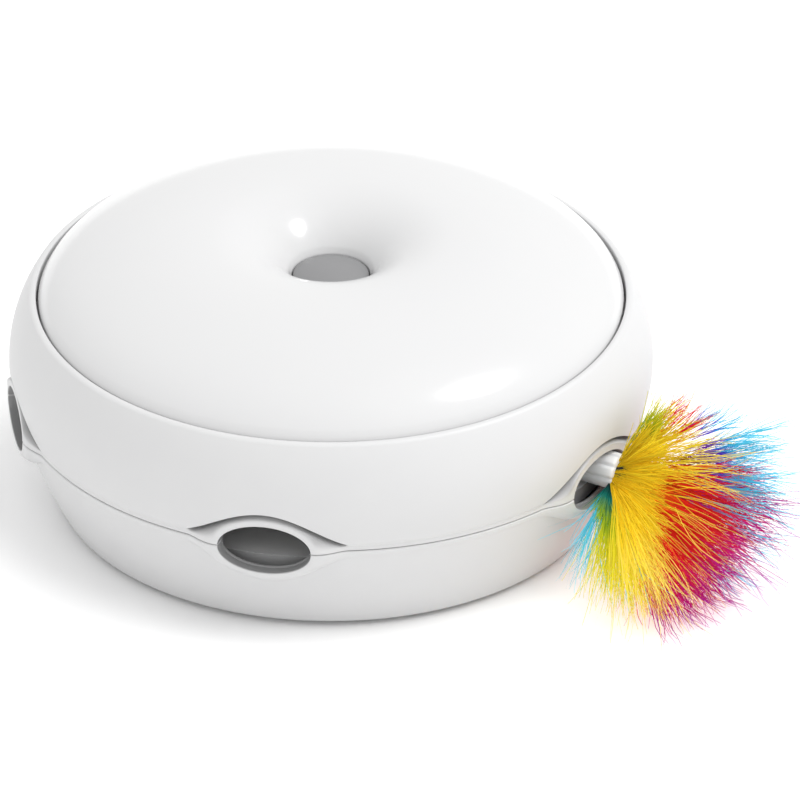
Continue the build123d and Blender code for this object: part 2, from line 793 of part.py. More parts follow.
# Carousel and what it turns on
with BuildPart() as journal_bush:
    with BuildSketch(Plane.XY.offset(bush_flange_bottom)):
        Circle(bush_flange_radius)
    extrude(amount=bush_flange_thickness)
    with BuildSketch(Plane.XY.offset(bush_bottom)):
        Circle(bush_radius)
    extrude(amount=hub_height)
    with BuildSketch(Plane.XY.offset(bush_flange_bottom)):
        Circle(tower_radius + gear_slip)
    extrude(amount=bush_flange_thickness + hub_height, mode=Mode.SUBTRACT)
export(journal_bush, "journal_bush")

with BuildPart() as retaining_ring:
    with BuildSketch(Plane.XY.offset(hub_top + retainer_gap)):
        Circle(retainer_outer_radius)
        Circle(tower_radius - retainer_depth + gear_slip, mode=Mode.SUBTRACT)
        with Locations((-retainer_outer_radius, 0)):
            Rectangle(retainer_outer_radius, retainer_slit, mode=Mode.SUBTRACT)
    extrude(amount=retainer_thickness)
export(retaining_ring, "retaining_ring")

with BuildPart() as carousel:
    with BuildSketch(Plane.XY.offset(bush_bottom + thrust_gap)):
        Circle(hub_outer_radius)
    extrude(amount=hub_height - thrust_gap)
    with BuildSketch(Plane.XY.offset(plate_bottom)):
        Circle(plate_radius)
    extrude(amount=plate_thickness)
    with BuildSketch(Plane.XY.offset(plate_bottom)):
        Circle(plate_radius)
        Circle(plate_radius - skirt_wall, mode=Mode.SUBTRACT)
    extrude(amount=-skirt_drop)
    with BuildSketch(Plane.XY.offset(plate_bottom)):
        Circle(drum_outer_radius)
        Circle(drum_outer_radius - drum_wall, mode=Mode.SUBTRACT)
    extrude(amount=drum_top - plate_bottom)
    with BuildSketch(radial_plane(drum_outer_radius - drum_wall - cut_overrun, wand_height)):
        Rectangle(2 * drum_window_half_width, drum_window_height)
    extrude(amount=drum_wall + 2 * cut_overrun, mode=Mode.SUBTRACT)
    with BuildSketch(Plane.XY.offset(plate_bottom)):
        for azimuth in (-stop_peg_azimuth, stop_peg_azimuth):
            with Locations(polar_point(stop_circle, azimuth)):
                Circle(stop_peg_radius)
    extrude(amount=-stop_peg_length)
    with BuildSketch(Plane.XY.offset(plate_top)):
        with Locations((spring_back + spring_strip + spring_post_length / 2, 0)):
            Rectangle(spring_post_length, arm_tail_width)
    extrude(amount=wand_height + spring_height / 2 - plate_top)
    with BuildSketch(Plane.XY.offset(bush_bottom)):
        Circle(bush_radius + running_clearance)
    extrude(amount=hub_height, mode=Mode.SUBTRACT)
    with BuildSketch(Plane.XY.offset(plate_bottom)):
        with Locations((pivot_radius, 0)):
            Circle(pin_radius + pin_slip)
    extrude(amount=plate_thickness, mode=Mode.SUBTRACT)
export(carousel, "carousel")

with BuildPart() as ring_gear:
    with BuildSketch(Plane.XY.offset(plate_bottom - gear_width)):
        with BuildLine():
            Polyline(*gear_points(ring_teeth, motor_azimuth + 180 / ring_teeth), close=True)
        make_face()
        Circle(hub_outer_radius + gear_slip, mode=Mode.SUBTRACT)
    extrude(amount=gear_width)
export(ring_gear, "ring_gear")

# Geared motor under the carousel, with its pinion
motor_shaft_place = polar_point(gear_centers, motor_azimuth)
pinion_bottom = plate_bottom - gear_width

with BuildPart() as drive_motor:
    with BuildSketch(Plane.XY.offset(floor_top)):
        with Locations((0, motor_center)):
            Circle(motor_body_radius)
    extrude(amount=motor_body_height)
    fillet(drive_motor.edges().group_by(Axis.Z)[-1], motor_edge_fillet)
    with BuildSketch(Plane.XY.offset(motor_top - motor_ear_thickness)):
        with Locations((0, motor_center)):
            SlotCenterToCenter(motor_ear_pitch, 2 * motor_ear_radius)
        with Locations(*motor_screw_places):
            Circle(screw_shank_radius + screw_hole_clearance, mode=Mode.SUBTRACT)
    extrude(amount=motor_ear_thickness)
    with BuildSketch(Plane.XY.offset(motor_top)):
        with Locations(motor_shaft_place):
            Circle(motor_boss_radius)
    extrude(amount=motor_boss_height)
export(drive_motor, "drive_motor")

with BuildPart() as motor_cap:
    with BuildSketch(Plane.XY.offset(floor_top)):
        with Locations((0, motor_center + motor_body_radius)):
            Rectangle(motor_cap_width, 2 * motor_cap_depth)
        with Locations((0, motor_center)):
            Circle(motor_body_radius + gear_slip, mode=Mode.SUBTRACT)
    extrude(amount=motor_cap_height)
    keep_side = motor_cap.solids().sort_by(Axis.Y)[-1]
    add(keep_side, mode=Mode.INTERSECT)
export(motor_cap, "motor_cap")

with BuildPart() as motor_shaft:
    with BuildSketch(Plane.XY.offset(motor_top + motor_boss_height + thrust_gap)):
        with Locations(motor_shaft_place):
            Circle(motor_shaft_radius)
    extrude(amount=plate_bottom - pinion_play - motor_top - motor_boss_height - thrust_gap)
export(motor_shaft, "motor_shaft")

with BuildPart() as drive_pinion:
    with BuildSketch(Plane(origin=(motor_shaft_place[0], motor_shaft_place[1], pinion_bottom))):
        with BuildLine():
            Polyline(*gear_points(pinion_teeth, motor_azimuth + 180), close=True)
        make_face()
        Circle(motor_shaft_radius + gear_slip, mode=Mode.SUBTRACT)
    extrude(amount=gear_width - pinion_play)
export(drive_pinion, "drive_pinion")

# Motor lead, from the motor's side through the tower's wall and up between the cells to the board
with BuildPart() as motor_lead:
    lead_top = Vector(lead_corner[0], lead_corner[1], board_bottom)
    with BuildLine() as lead_path:
        FilletPolyline(
            motor_lead_start,
            motor_lead_knee,
            motor_lead_corner,
            lead_top,
            radius=(lead_bend_radius, lead_bend_radius),
        )
    with BuildSketch(Plane(origin=motor_lead_start, z_dir=motor_lead_knee - motor_lead_start)):
        Circle(lead_radius)
    sweep(path=lead_path.line)
export(motor_lead, "motor_lead")

# Wand: pivot, arm, spring, sleeve
with BuildPart() as pivot_pin:
    with BuildSketch(Plane.XY.offset(plate_bottom)):
        with Locations((pivot_radius, 0)):
            Circle(pin_radius)
    extrude(amount=pin_top - plate_bottom)
    with BuildSketch(Plane.XY.offset(arm_boss_top + clip_gap)):
        with Locations((pivot_radius, 0)):
            Circle(pin_radius + cut_overrun)
            Circle(pin_radius - pin_groove_depth, mode=Mode.SUBTRACT)
    extrude(amount=clip_thickness, mode=Mode.SUBTRACT)
export(pivot_pin, "pivot_pin")

with BuildPart() as pin_clip:
    with BuildSketch(Plane.XY.offset(arm_boss_top + clip_gap)):
        with Locations((pivot_radius, 0)):
            Circle(clip_radius)
            Circle(pin_radius - pin_groove_depth + pin_slip, mode=Mode.SUBTRACT)
        with Locations((pivot_radius - clip_radius, 0)):
            Rectangle(2 * clip_radius, 2 * (pin_radius - pin_groove_depth), mode=Mode.SUBTRACT)
    extrude(amount=clip_thickness)
export(pin_clip, "pin_clip")

arm_bush_bottom = plate_top + arm_lift
arm_bottom = arm_bush_bottom + arm_bush_flange_thickness
arm_bush_bore = pin_radius + running_clearance
arm_bush_radius = arm_bush_bore + arm_bush_wall

with BuildPart() as arm_bush:
    with BuildSketch(Plane.XY.offset(arm_bush_bottom)):
        with Locations((pivot_radius, 0)):
            Circle(arm_bush_flange_radius)
    extrude(amount=arm_bush_flange_thickness)
    with BuildSketch(Plane.XY.offset(arm_bottom)):
        with Locations((pivot_radius, 0)):
            Circle(arm_bush_radius)
    extrude(amount=arm_boss_top - arm_bottom)
    with BuildSketch(Plane.XY.offset(arm_bush_bottom)):
        with Locations((pivot_radius, 0)):
            Circle(arm_bush_bore)
    extrude(amount=arm_boss_top - arm_bush_bottom, mode=Mode.SUBTRACT)
export(arm_bush, "arm_bush")

with BuildPart() as swing_arm:
    with BuildSketch(Plane.XY.offset(arm_bottom)):
        with Locations((pivot_radius, 0)):
            Circle(arm_boss_radius)
    extrude(amount=arm_boss_top - arm_bottom)
    with BuildSketch(Plane.XY.offset(wand_height - arm_height / 2)):
        with Locations(((pivot_radius + arm_reach) / 2, 0)):
            Rectangle(arm_reach - pivot_radius, arm_width)
    extrude(amount=arm_height)
    with BuildSketch(Plane.XY.offset(wand_height - arm_tail_height / 2)):
        with Locations(((pivot_radius + arm_tail_reach) / 2, 0)):
            Rectangle(pivot_radius - arm_tail_reach, arm_tail_width)
    extrude(amount=arm_tail_height)
    with BuildSketch(radial_plane(arm_reach, wand_height)):
        Circle(spigot_radius)
    extrude(amount=spigot_tip - arm_reach)
    with BuildSketch(Plane.XY.offset(arm_bottom)):
        with Locations((pivot_radius, 0)):
            Circle(arm_bush_radius + pin_slip)
    extrude(amount=arm_boss_top - arm_bottom, mode=Mode.SUBTRACT)
export(swing_arm, "swing_arm")

spring_half_gap = arm_tail_width / 2 + spring_play

with BuildPart() as centring_spring:
    with BuildSketch(Plane.XY.offset(wand_height - spring_height / 2)):
        with Locations(((spring_back + spring_reach) / 2, 0)):
            Rectangle(spring_reach - spring_back, 2 * (spring_half_gap + spring_strip))
        with Locations(((spring_back + spring_strip + spring_reach) / 2, 0)):
            Rectangle(spring_reach - spring_back - spring_strip, 2 * spring_half_gap, mode=Mode.SUBTRACT)
    extrude(amount=spring_height)
export(centring_spring, "centring_spring")

with BuildPart() as wand_sleeve:
    with BuildSketch(radial_plane(arm_reach, wand_height)):
        Circle(sleeve_radius)
        with PolarLocations(sleeve_radius, sleeve_flute_count):
            Circle(sleeve_flute_radius, mode=Mode.SUBTRACT)
    extrude(amount=sleeve_tip - arm_reach)
    with BuildSketch(radial_plane(arm_reach, wand_height)):
        Circle(spigot_radius + spigot_slip)
    extrude(amount=spigot_tip - arm_reach, mode=Mode.SUBTRACT)
export(wand_sleeve, "wand_sleeve")

with BuildPart() as plume_tie:
    with Locations((plume_root, 0, wand_height)):
        Sphere(tie_ball_radius)
    split(bisect_by=radial_plane(sleeve_tip, wand_height), keep=Keep.TOP)
    with BuildSketch(radial_plane(sleeve_tip, wand_height)):
        Circle(tie_radius)
    extrude(amount=tie_length)
export(plume_tie, "plume_tie")

for node, angles in plume_angles.items():
    with BuildPart() as plumes:
        for ring, (polar, count) in enumerate(zip(angles, plume_counts[node])):
            for number in range(count):
                azimuth = 2 * pi * (number + plume_stagger_share * ring) / count
                plane, length = plume_plane_and_length(radians(polar), azimuth)
                with BuildSketch(plane):
                    with BuildLine():
                        Polyline(*plume_points(length), close=True)
                    make_face()
                extrude(amount=plume_thickness / 2, both=True)
    export(plumes, node)

# Control board and button
with BuildPart() as control_board:
    with BuildSketch(Plane.XY.offset(board_bottom)):
        Circle(board_radius)
        with Locations(*board_screw_places):
            Circle(screw_shank_radius + screw_hole_clearance, mode=Mode.SUBTRACT)
    extrude(amount=board_thickness)
export(control_board, "control_board")

with BuildPart() as control_chips:
    with BuildSketch(Plane.XY.offset(board_top)):
        for azimuth in chip_azimuths:
            with Locations(polar_point(chip_circle, azimuth)):
                Rectangle(chip_length, chip_width)
    extrude(amount=chip_height)
export(control_chips, "control_chips")

dome_top = board_top + dome_height

with BuildPart() as return_dome:
    dome_outline = (
        (dome_base_radius, board_top),
        (dome_base_radius, board_top + dome_lip_height),
        (dome_top_radius + dome_wall, board_top + dome_lip_height),
        (dome_top_radius, dome_top),
        (0, dome_top),
        (0, dome_top - dome_wall),
        (dome_top_radius - dome_wall, dome_top - dome_wall),
        (dome_top_radius, board_top),
    )
    with BuildSketch(Plane.XZ):
        with BuildLine():
            Polyline(*dome_outline, close=True)
        make_face()
    revolve(axis=Axis.Z)
export(return_dome, "return_dome")

with BuildPart() as button_cap:
    flange_top = lid_collar_bottom - button_flange_gap
    flange_bottom = flange_top - button_flange_thickness
    crown_radius = (button_radius**2 + button_crown_rise**2) / (2 * button_crown_rise)
    crown_middle = button_radius / 2
    crown_middle_height = button_crown_height - crown_radius + sqrt(crown_radius**2 - crown_middle**2)
    with BuildSketch(Plane.XZ):
        with BuildLine():
            ThreePointArc(
                (0, button_crown_height),
                (crown_middle, crown_middle_height),
                (button_radius, button_edge_height),
            )
            Polyline(
                (button_radius, button_edge_height),
                (button_radius, flange_top),
                (button_radius + button_flange_reach, flange_top),
                (button_radius + button_flange_reach, flange_bottom),
                (button_radius - button_wall, flange_bottom),
                (button_radius - button_wall, button_edge_height - button_wall),
                (button_stem_radius, button_edge_height - button_wall),
                (button_stem_radius, dome_top),
                (0, dome_top),
                (0, button_crown_height),
            )
        make_face()
    revolve(axis=Axis.Z)
export(button_cap, "button_cap")
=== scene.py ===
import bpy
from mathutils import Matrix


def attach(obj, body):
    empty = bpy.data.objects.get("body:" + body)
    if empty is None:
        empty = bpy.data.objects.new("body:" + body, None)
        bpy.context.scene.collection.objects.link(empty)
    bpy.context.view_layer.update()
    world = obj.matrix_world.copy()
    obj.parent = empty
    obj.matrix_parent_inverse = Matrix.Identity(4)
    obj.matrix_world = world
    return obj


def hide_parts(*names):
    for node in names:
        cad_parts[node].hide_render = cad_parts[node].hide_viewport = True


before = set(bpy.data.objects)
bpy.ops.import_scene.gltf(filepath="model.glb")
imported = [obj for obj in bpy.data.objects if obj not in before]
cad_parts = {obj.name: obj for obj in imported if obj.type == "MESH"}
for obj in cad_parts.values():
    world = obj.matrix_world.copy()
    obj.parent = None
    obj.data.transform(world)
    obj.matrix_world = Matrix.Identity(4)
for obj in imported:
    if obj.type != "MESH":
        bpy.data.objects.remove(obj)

"""Looks of an automatic cat toy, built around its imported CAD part. Metres, +Z up, in the part's own frame.

The two casing halves, the lid, the button, the sleeve and the feather tuft are modelled here as smooth or soft
pieces that stand for their CAD nodes. Every other node is shown as it was packed, with a finish of its own.
"""

import logging
import math
from dataclasses import dataclass
from enum import Enum

import bpy
import numpy as np
from mathutils import Vector

logging.basicConfig(level=logging.INFO, format="%(name)s: %(message)s")
log = logging.getLogger("cat_toy")

MM = 0.001
Colour = tuple[float, float, float]
Point = tuple[float, float]
Quad = tuple[int, int, int, int]


class Body(Enum):
    """CAD bodies that pieces ride on."""

    CASING = "casing"
    WAND = "wand"
    BUTTON = "button"


class Side(Enum):
    """Halves of the casing, by the way they lie from the seam."""

    UPPER = 1
    LOWER = -1


# Finishes


@dataclass(frozen=True)
class Finish:
    """A moulded, metal or rubber surface with a fine grain.

    Attributes:
        slot: the record's material slot.
        colour: base colour, linear.
        tint: colour that the grain leans to, linear.
        roughness: lowest and highest roughness over the grain.
        metallic: 0 or 1.
        scale: grain repeats per metre.
        bump: depth of the grain's relief in metres.
        coat: weight of a clear polish on top.
        sheen: weight of soft edge light.
        inside: painted shade colour, mixed in where a mesh's "inside" attribute is 1, linear.
        top: painted light colour of the faces that look up, mixed in as a face turns up, linear.
    """

    slot: str
    colour: Colour
    tint: Colour
    roughness: Point = (0.4, 0.5)
    metallic: float = 0.0
    scale: float = 900.0
    bump: float = 0.00001
    coat: float = 0.0
    sheen: float = 0.0
    inside: Colour | None = None
    top: Colour | None = None

    def material(self) -> bpy.types.Material:
        """Make the finish's node material, or give the one that was made.

        Returns:
            The material, named after its slot.
        """
        made = bpy.data.materials.get(self.slot)
        if made is not None and made.get("finish"):
            return made
        made = bpy.data.materials.new(self.slot)
        made["finish"] = True
        made.use_nodes = True
        nodes, links = made.node_tree.nodes, made.node_tree.links
        shader = nodes["Principled BSDF"]
        place = nodes.new("ShaderNodeTexCoord")
        grain = nodes.new("ShaderNodeTexNoise")
        grain.inputs["Scale"].default_value = self.scale
        grain.inputs["Detail"].default_value = 3.0
        links.new(place.outputs["Object"], grain.inputs["Vector"])
        cloud = nodes.new("ShaderNodeTexNoise")
        cloud.inputs["Scale"].default_value = self.scale / 30
        links.new(place.outputs["Object"], cloud.inputs["Vector"])
        mix = nodes.new("ShaderNodeMix")
        mix.data_type = "RGBA"
        mix.inputs["A"].default_value = (*self.colour, 1)
        mix.inputs["B"].default_value = (*self.tint, 1)
        links.new(cloud.outputs["Fac"], mix.inputs["Factor"])
        links.new(mix.outputs["Result"], shader.inputs["Base Color"])
        # Painted shade: the colour moves to the darker inside colour where the "inside" attribute is 1.
        if self.inside:
            where = nodes.new("ShaderNodeAttribute")
            where.attribute_name = "inside"
            deep = nodes.new("ShaderNodeMix")
            deep.data_type = "RGBA"
            deep.inputs["B"].default_value = (*self.inside, 1)
            links.new(where.outputs["Fac"], deep.inputs["Factor"])
            links.new(mix.outputs["Result"], deep.inputs["A"])
            links.new(deep.outputs["Result"], shader.inputs["Base Color"])
        # Painted light: faces that look up take the top colour, so they read as lit from above.
        if self.top:
            facing = nodes.new("ShaderNodeNewGeometry")
            axes = nodes.new("ShaderNodeSeparateXYZ")
            links.new(facing.outputs["Normal"], axes.inputs["Vector"])
            upper = nodes.new("ShaderNodeMix")
            upper.data_type = "RGBA"
            upper.inputs["B"].default_value = (*self.top, 1)
            links.new(axes.outputs["Z"], upper.inputs["Factor"])
            links.new(mix.outputs["Result"], upper.inputs["A"])
            links.new(upper.outputs["Result"], shader.inputs["Base Color"])
        spread = nodes.new("ShaderNodeMapRange")
        spread.inputs["To Min"].default_value = self.roughness[0]
        spread.inputs["To Max"].default_value = self.roughness[1]
        links.new(grain.outputs["Fac"], spread.inputs["Value"])
        links.new(spread.outputs["Result"], shader.inputs["Roughness"])
        relief = nodes.new("ShaderNodeBump")
        relief.inputs["Strength"].default_value = 1.0
        relief.inputs["Distance"].default_value = self.bump
        links.new(grain.outputs["Fac"], relief.inputs["Height"])
        links.new(relief.outputs["Normal"], shader.inputs["Normal"])
        shader.inputs["Metallic"].default_value = self.metallic
        shader.inputs["Coat Weight"].default_value = self.coat
        shader.inputs["Coat Roughness"].default_value = 0.06
        shader.inputs["Sheen Weight"].default_value = self.sheen
        return made


@dataclass(frozen=True)
class PlumeFinish:
    """Dyed marabou: a colour that changes from the root outwards, uneven from strand to strand.

    Attributes:
        slot: the record's material slot.
        stops: share of the tuft's reach, and the dye's colour there, linear.
        glow: share of light that comes through a strand.
    """

    slot: str
    stops: tuple[tuple[float, Colour], ...]
    glow: float = 0.4

    def material(self) -> bpy.types.Material:
        """Make the dye's node material.

        Returns:
            The material, named after its slot.
        """
        made = bpy.data.materials.new(self.slot)
        made.use_nodes = True
        nodes, links = made.node_tree.nodes, made.node_tree.links
        shader = nodes["Principled BSDF"]
        reach = nodes.new("ShaderNodeAttribute")
        reach.attribute_name = "reach"
        ramp = nodes.new("ShaderNodeValToRGB")
        points = ramp.color_ramp.elements
        while len(points) < len(self.stops):
            points.new(0.5)
        for point, (share, colour) in zip(points, self.stops):
            point.position = share
            point.color = (*colour, 1)
        links.new(reach.outputs["Fac"], ramp.inputs["Fac"])
        shade = nodes.new("ShaderNodeAttribute")
        shade.attribute_name = "shade"
        uneven = nodes.new("ShaderNodeHueSaturation")
        links.new(shade.outputs["Fac"], uneven.inputs["Value"])
        links.new(ramp.outputs["Color"], uneven.inputs["Color"])
        links.new(uneven.outputs["Color"], shader.inputs["Base Color"])
        shader.inputs["Roughness"].default_value = 0.75
        shader.inputs["Specular IOR Level"].default_value = 0.2
        through = nodes.new("ShaderNodeBsdfTranslucent")
        links.new(uneven.outputs["Color"], through.inputs["Color"])
        both = nodes.new("ShaderNodeMixShader")
        both.inputs["Fac"].default_value = self.glow
        links.new(shader.outputs["BSDF"], both.inputs[1])
        links.new(through.outputs["BSDF"], both.inputs[2])
        links.new(both.outputs["Shader"], nodes["Material Output"].inputs["Surface"])
        return made


# The shell's inside colour is painted shade, for the hole throats and the recess under each brow.
SHELL = Finish(
    "white_matt_shell", (0.585, 0.585, 0.585), (0.565, 0.565, 0.57), (0.45, 0.55), scale=1500.0, bump=0.000004,
    inside=(0.26, 0.26, 0.262),
)
LID = Finish("white_gloss_lid", (0.60, 0.60, 0.60), (0.58, 0.58, 0.585), (0.12, 0.16), scale=300.0, bump=0.0)
BUTTON = Finish("grey_button", (0.22, 0.22, 0.224), (0.20, 0.20, 0.204), (0.42, 0.50), bump=0.000002)
SLEEVE = Finish("white_soft_sleeve", (0.78, 0.79, 0.80), (0.74, 0.75, 0.76), (0.45, 0.55), sheen=0.2)
# The inner plastic's top colour is painted light: its upward faces are lighter than its sides.
INNER = Finish("grey_inner_plastic", (0.34, 0.34, 0.343), (0.31, 0.31, 0.313), (0.5, 0.6),
               top=(0.72, 0.72, 0.72))
STEEL = Finish("spring_steel", (0.55, 0.55, 0.57), (0.48, 0.48, 0.50), (0.22, 0.34), metallic=1.0)
NODE_FINISHES = {
    SHELL: ("battery_door",),
    INNER: ("battery_tower", "carousel", "swing_arm"),
    STEEL: ("retaining_ring", "pivot_pin", "pin_clip", "centring_spring", "motor_shaft"),
    Finish("grey_rubber", (0.07, 0.07, 0.072), (0.055, 0.055, 0.056), (0.75, 0.85)): ("anti_slip_ring",),
    Finish("cell_jacket", (0.03, 0.035, 0.05), (0.05, 0.055, 0.07), (0.25, 0.35)): ("battery_cells",),
    Finish("sprung_nickel", (0.66, 0.64, 0.58), (0.60, 0.58, 0.52), (0.2, 0.3), metallic=1.0): (
        "upper_contacts", "door_contacts",
    ),
    Finish("lead_insulation", (0.35, 0.02, 0.015), (0.28, 0.015, 0.012), (0.5, 0.6)): (
        "battery_leads", "motor_lead",
    ),
    Finish("zinc_screws", (0.52, 0.53, 0.55), (0.44, 0.45, 0.47), (0.28, 0.4), metallic=1.0): (
        "tower_screws", "roof_screws", "board_screws", "motor_screws",
    ),
    Finish("ivory_acetal", (0.72, 0.67, 0.55), (0.68, 0.63, 0.51), (0.4, 0.5)): (
        "journal_bush", "ring_gear", "arm_bush",
    ),
    Finish("motor_can", (0.58, 0.59, 0.60), (0.50, 0.51, 0.52), (0.3, 0.42), metallic=1.0): ("drive_motor",),
    Finish("blue_motor_cap", (0.02, 0.07, 0.25), (0.018, 0.06, 0.21), (0.4, 0.5)): ("motor_cap",),
    Finish("green_board", (0.01, 0.09, 0.03), (0.008, 0.07, 0.025), (0.3, 0.4)): ("control_board",),
    Finish("black_chips", (0.012, 0.012, 0.013), (0.02, 0.02, 0.02), (0.45, 0.55)): ("control_chips",),
    Finish("clear_silicone", (0.62, 0.62, 0.58), (0.56, 0.56, 0.53), (0.4, 0.5)): ("return_dome",),
    Finish("brass_gear", (0.60, 0.42, 0.13), (0.52, 0.36, 0.11), (0.25, 0.35), metallic=1.0): ("drive_pinion",),
    Finish(
        "dark_binding", (0.006, 0.010, 0.008), (0.015, 0.02, 0.016), (0.7, 0.85), scale=2500.0, bump=0.0002,
    ): ("plume_tie",),
}


# Meshes


def piece(name: str, points: np.ndarray, faces: list, finish: Finish | PlumeFinish, body: Body,
          stands_for: tuple[str, ...], crease: float = 32.0) -> bpy.types.Object:
    """Make one mesh piece, dress it, and let it ride on a body.

    Args:
        name: the piece's name.
        points: its points in millimetres.
        faces: its faces, as rows of point numbers.
        finish: its finish.
        body: the CAD body it rides on.
        stands_for: the CAD nodes it stands for.
        crease: angle in degrees above which an edge stays sharp.

    Returns:
        The new object.
    """
    mesh = bpy.data.meshes.new(name)
    mesh.from_pydata((np.asarray(points) * MM).tolist(), [], faces)
    mesh.validate()
    mesh.shade_smooth()
    mesh.set_sharp_from_angle(angle=math.radians(crease))
    made = bpy.data.objects.new(name, mesh)
    bpy.context.scene.collection.objects.link(made)
    mesh.materials.append(finish.material())
    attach(made, body.value)
    if stands_for:
        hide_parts(*stands_for)
    log.info("%s: %d faces", name, len(faces))
    return made


def mark(made: bpy.types.Object, label: str, values: np.ndarray) -> None:
    """Store a value at each point of a piece.

    Args:
        made: the piece.
        label: the attribute's name.
        values: one value for each point.
    """
    store = made.data.attributes.new(label, "FLOAT", "POINT")
    store.data.foreach_set("value", np.asarray(values, np.float32).ravel())


def grid_faces(rows: int, columns: int, rows_close: bool, columns_close: bool) -> list[Quad]:
    """Number the quads of a grid of points stored column by column.

    Args:
        rows: points in each column.
        columns: number of columns.
        rows_close: whether the last row joins the first.
        columns_close: whether the last column joins the first.

    Returns:
        The quads.
    """
    quads = []
    for c in range(columns if columns_close else columns - 1):
        here, there = c * rows, (c + 1) % columns * rows
        for r in range(rows if rows_close else rows - 1):
            below = (r + 1) % rows
            quads.append((here + r, here + below, there + below, there + r))
    return quads


def revolved(outline: list[Point], segments: int) -> tuple[np.ndarray, list]:
    """Turn a closed outline of radius and height about the Z axis.

    Args:
        outline: points of the section, in millimetres, outside upwards.
        segments: steps round the axis.

    Returns:
        Points and faces.
    """
    section = np.array(outline)
    turns = np.linspace(0, 2 * math.pi, segments, endpoint=False)
    radii, heights = section.T
    points = np.concatenate([
        np.column_stack([radii * math.cos(a), radii * math.sin(a), heights]) for a in turns
    ])
    return points, grid_faces(len(section), segments, True, True)


def arc(center: Point, radius: float, start: float, end: float, steps: int) -> list[Point]:
    """Points of an arc in the section.

    Args:
        center: the arc's centre.
        radius: its radius.
        start: first angle in degrees.
        end: last angle in degrees.
        steps: number of steps.

    Returns:
        The points, both ends included.
    """
    angles = np.radians(np.linspace(start, end, steps + 1))
    return [(center[0] + radius * math.cos(a), center[1] + radius * math.sin(a)) for a in angles]


def smooth(share: np.ndarray | float) -> np.ndarray | float:
    """Ease a share from 0 to 1.

    Args:
        share: the share, cut to 0 and 1.

    Returns:
        The eased share.
    """
    share = np.clip(share, 0, 1)
    return share * share * (3 - 2 * share)


def core_of(node: str, name: str, radius: float, low: float, high: float) -> None:
    """Keep the middle of a CAD node's mesh, inside an upright cylinder, as a piece of its own.

    Args:
        node: the CAD node.
        name: the new piece's name.
        radius: the cylinder's radius in millimetres.
        low: its lower end.
        high: its upper end.
    """
    ring, faces = revolved([(0, low), (radius, low), (radius, high), (0, high)], 256)
    cutter_mesh = bpy.data.meshes.new("cutter")
    cutter_mesh.from_pydata((ring * MM).tolist(), [], faces)
    cutter_mesh.validate()
    cutter = bpy.data.objects.new("cutter", cutter_mesh)
    copy = bpy.data.objects.new(name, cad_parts[node].data.copy())
    for thing in (cutter, copy):
        bpy.context.scene.collection.objects.link(thing)
    cut = copy.modifiers.new("cut", "BOOLEAN")
    cut.operation, cut.object, cut.solver = "INTERSECT", cutter, "EXACT"
    bpy.context.view_layer.update()
    mesh = bpy.data.meshes.new_from_object(copy.evaluated_get(bpy.context.evaluated_depsgraph_get()))
    copy.modifiers.clear()
    copy.data = mesh
    bpy.data.objects.remove(cutter)
    mesh.shade_flat()
    mesh.materials.clear()
    mesh.materials.append(SHELL.material())
    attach(copy, Body.CASING.value)
    log.info("%s: %d faces", name, len(mesh.polygons))


# Sub-assemblies


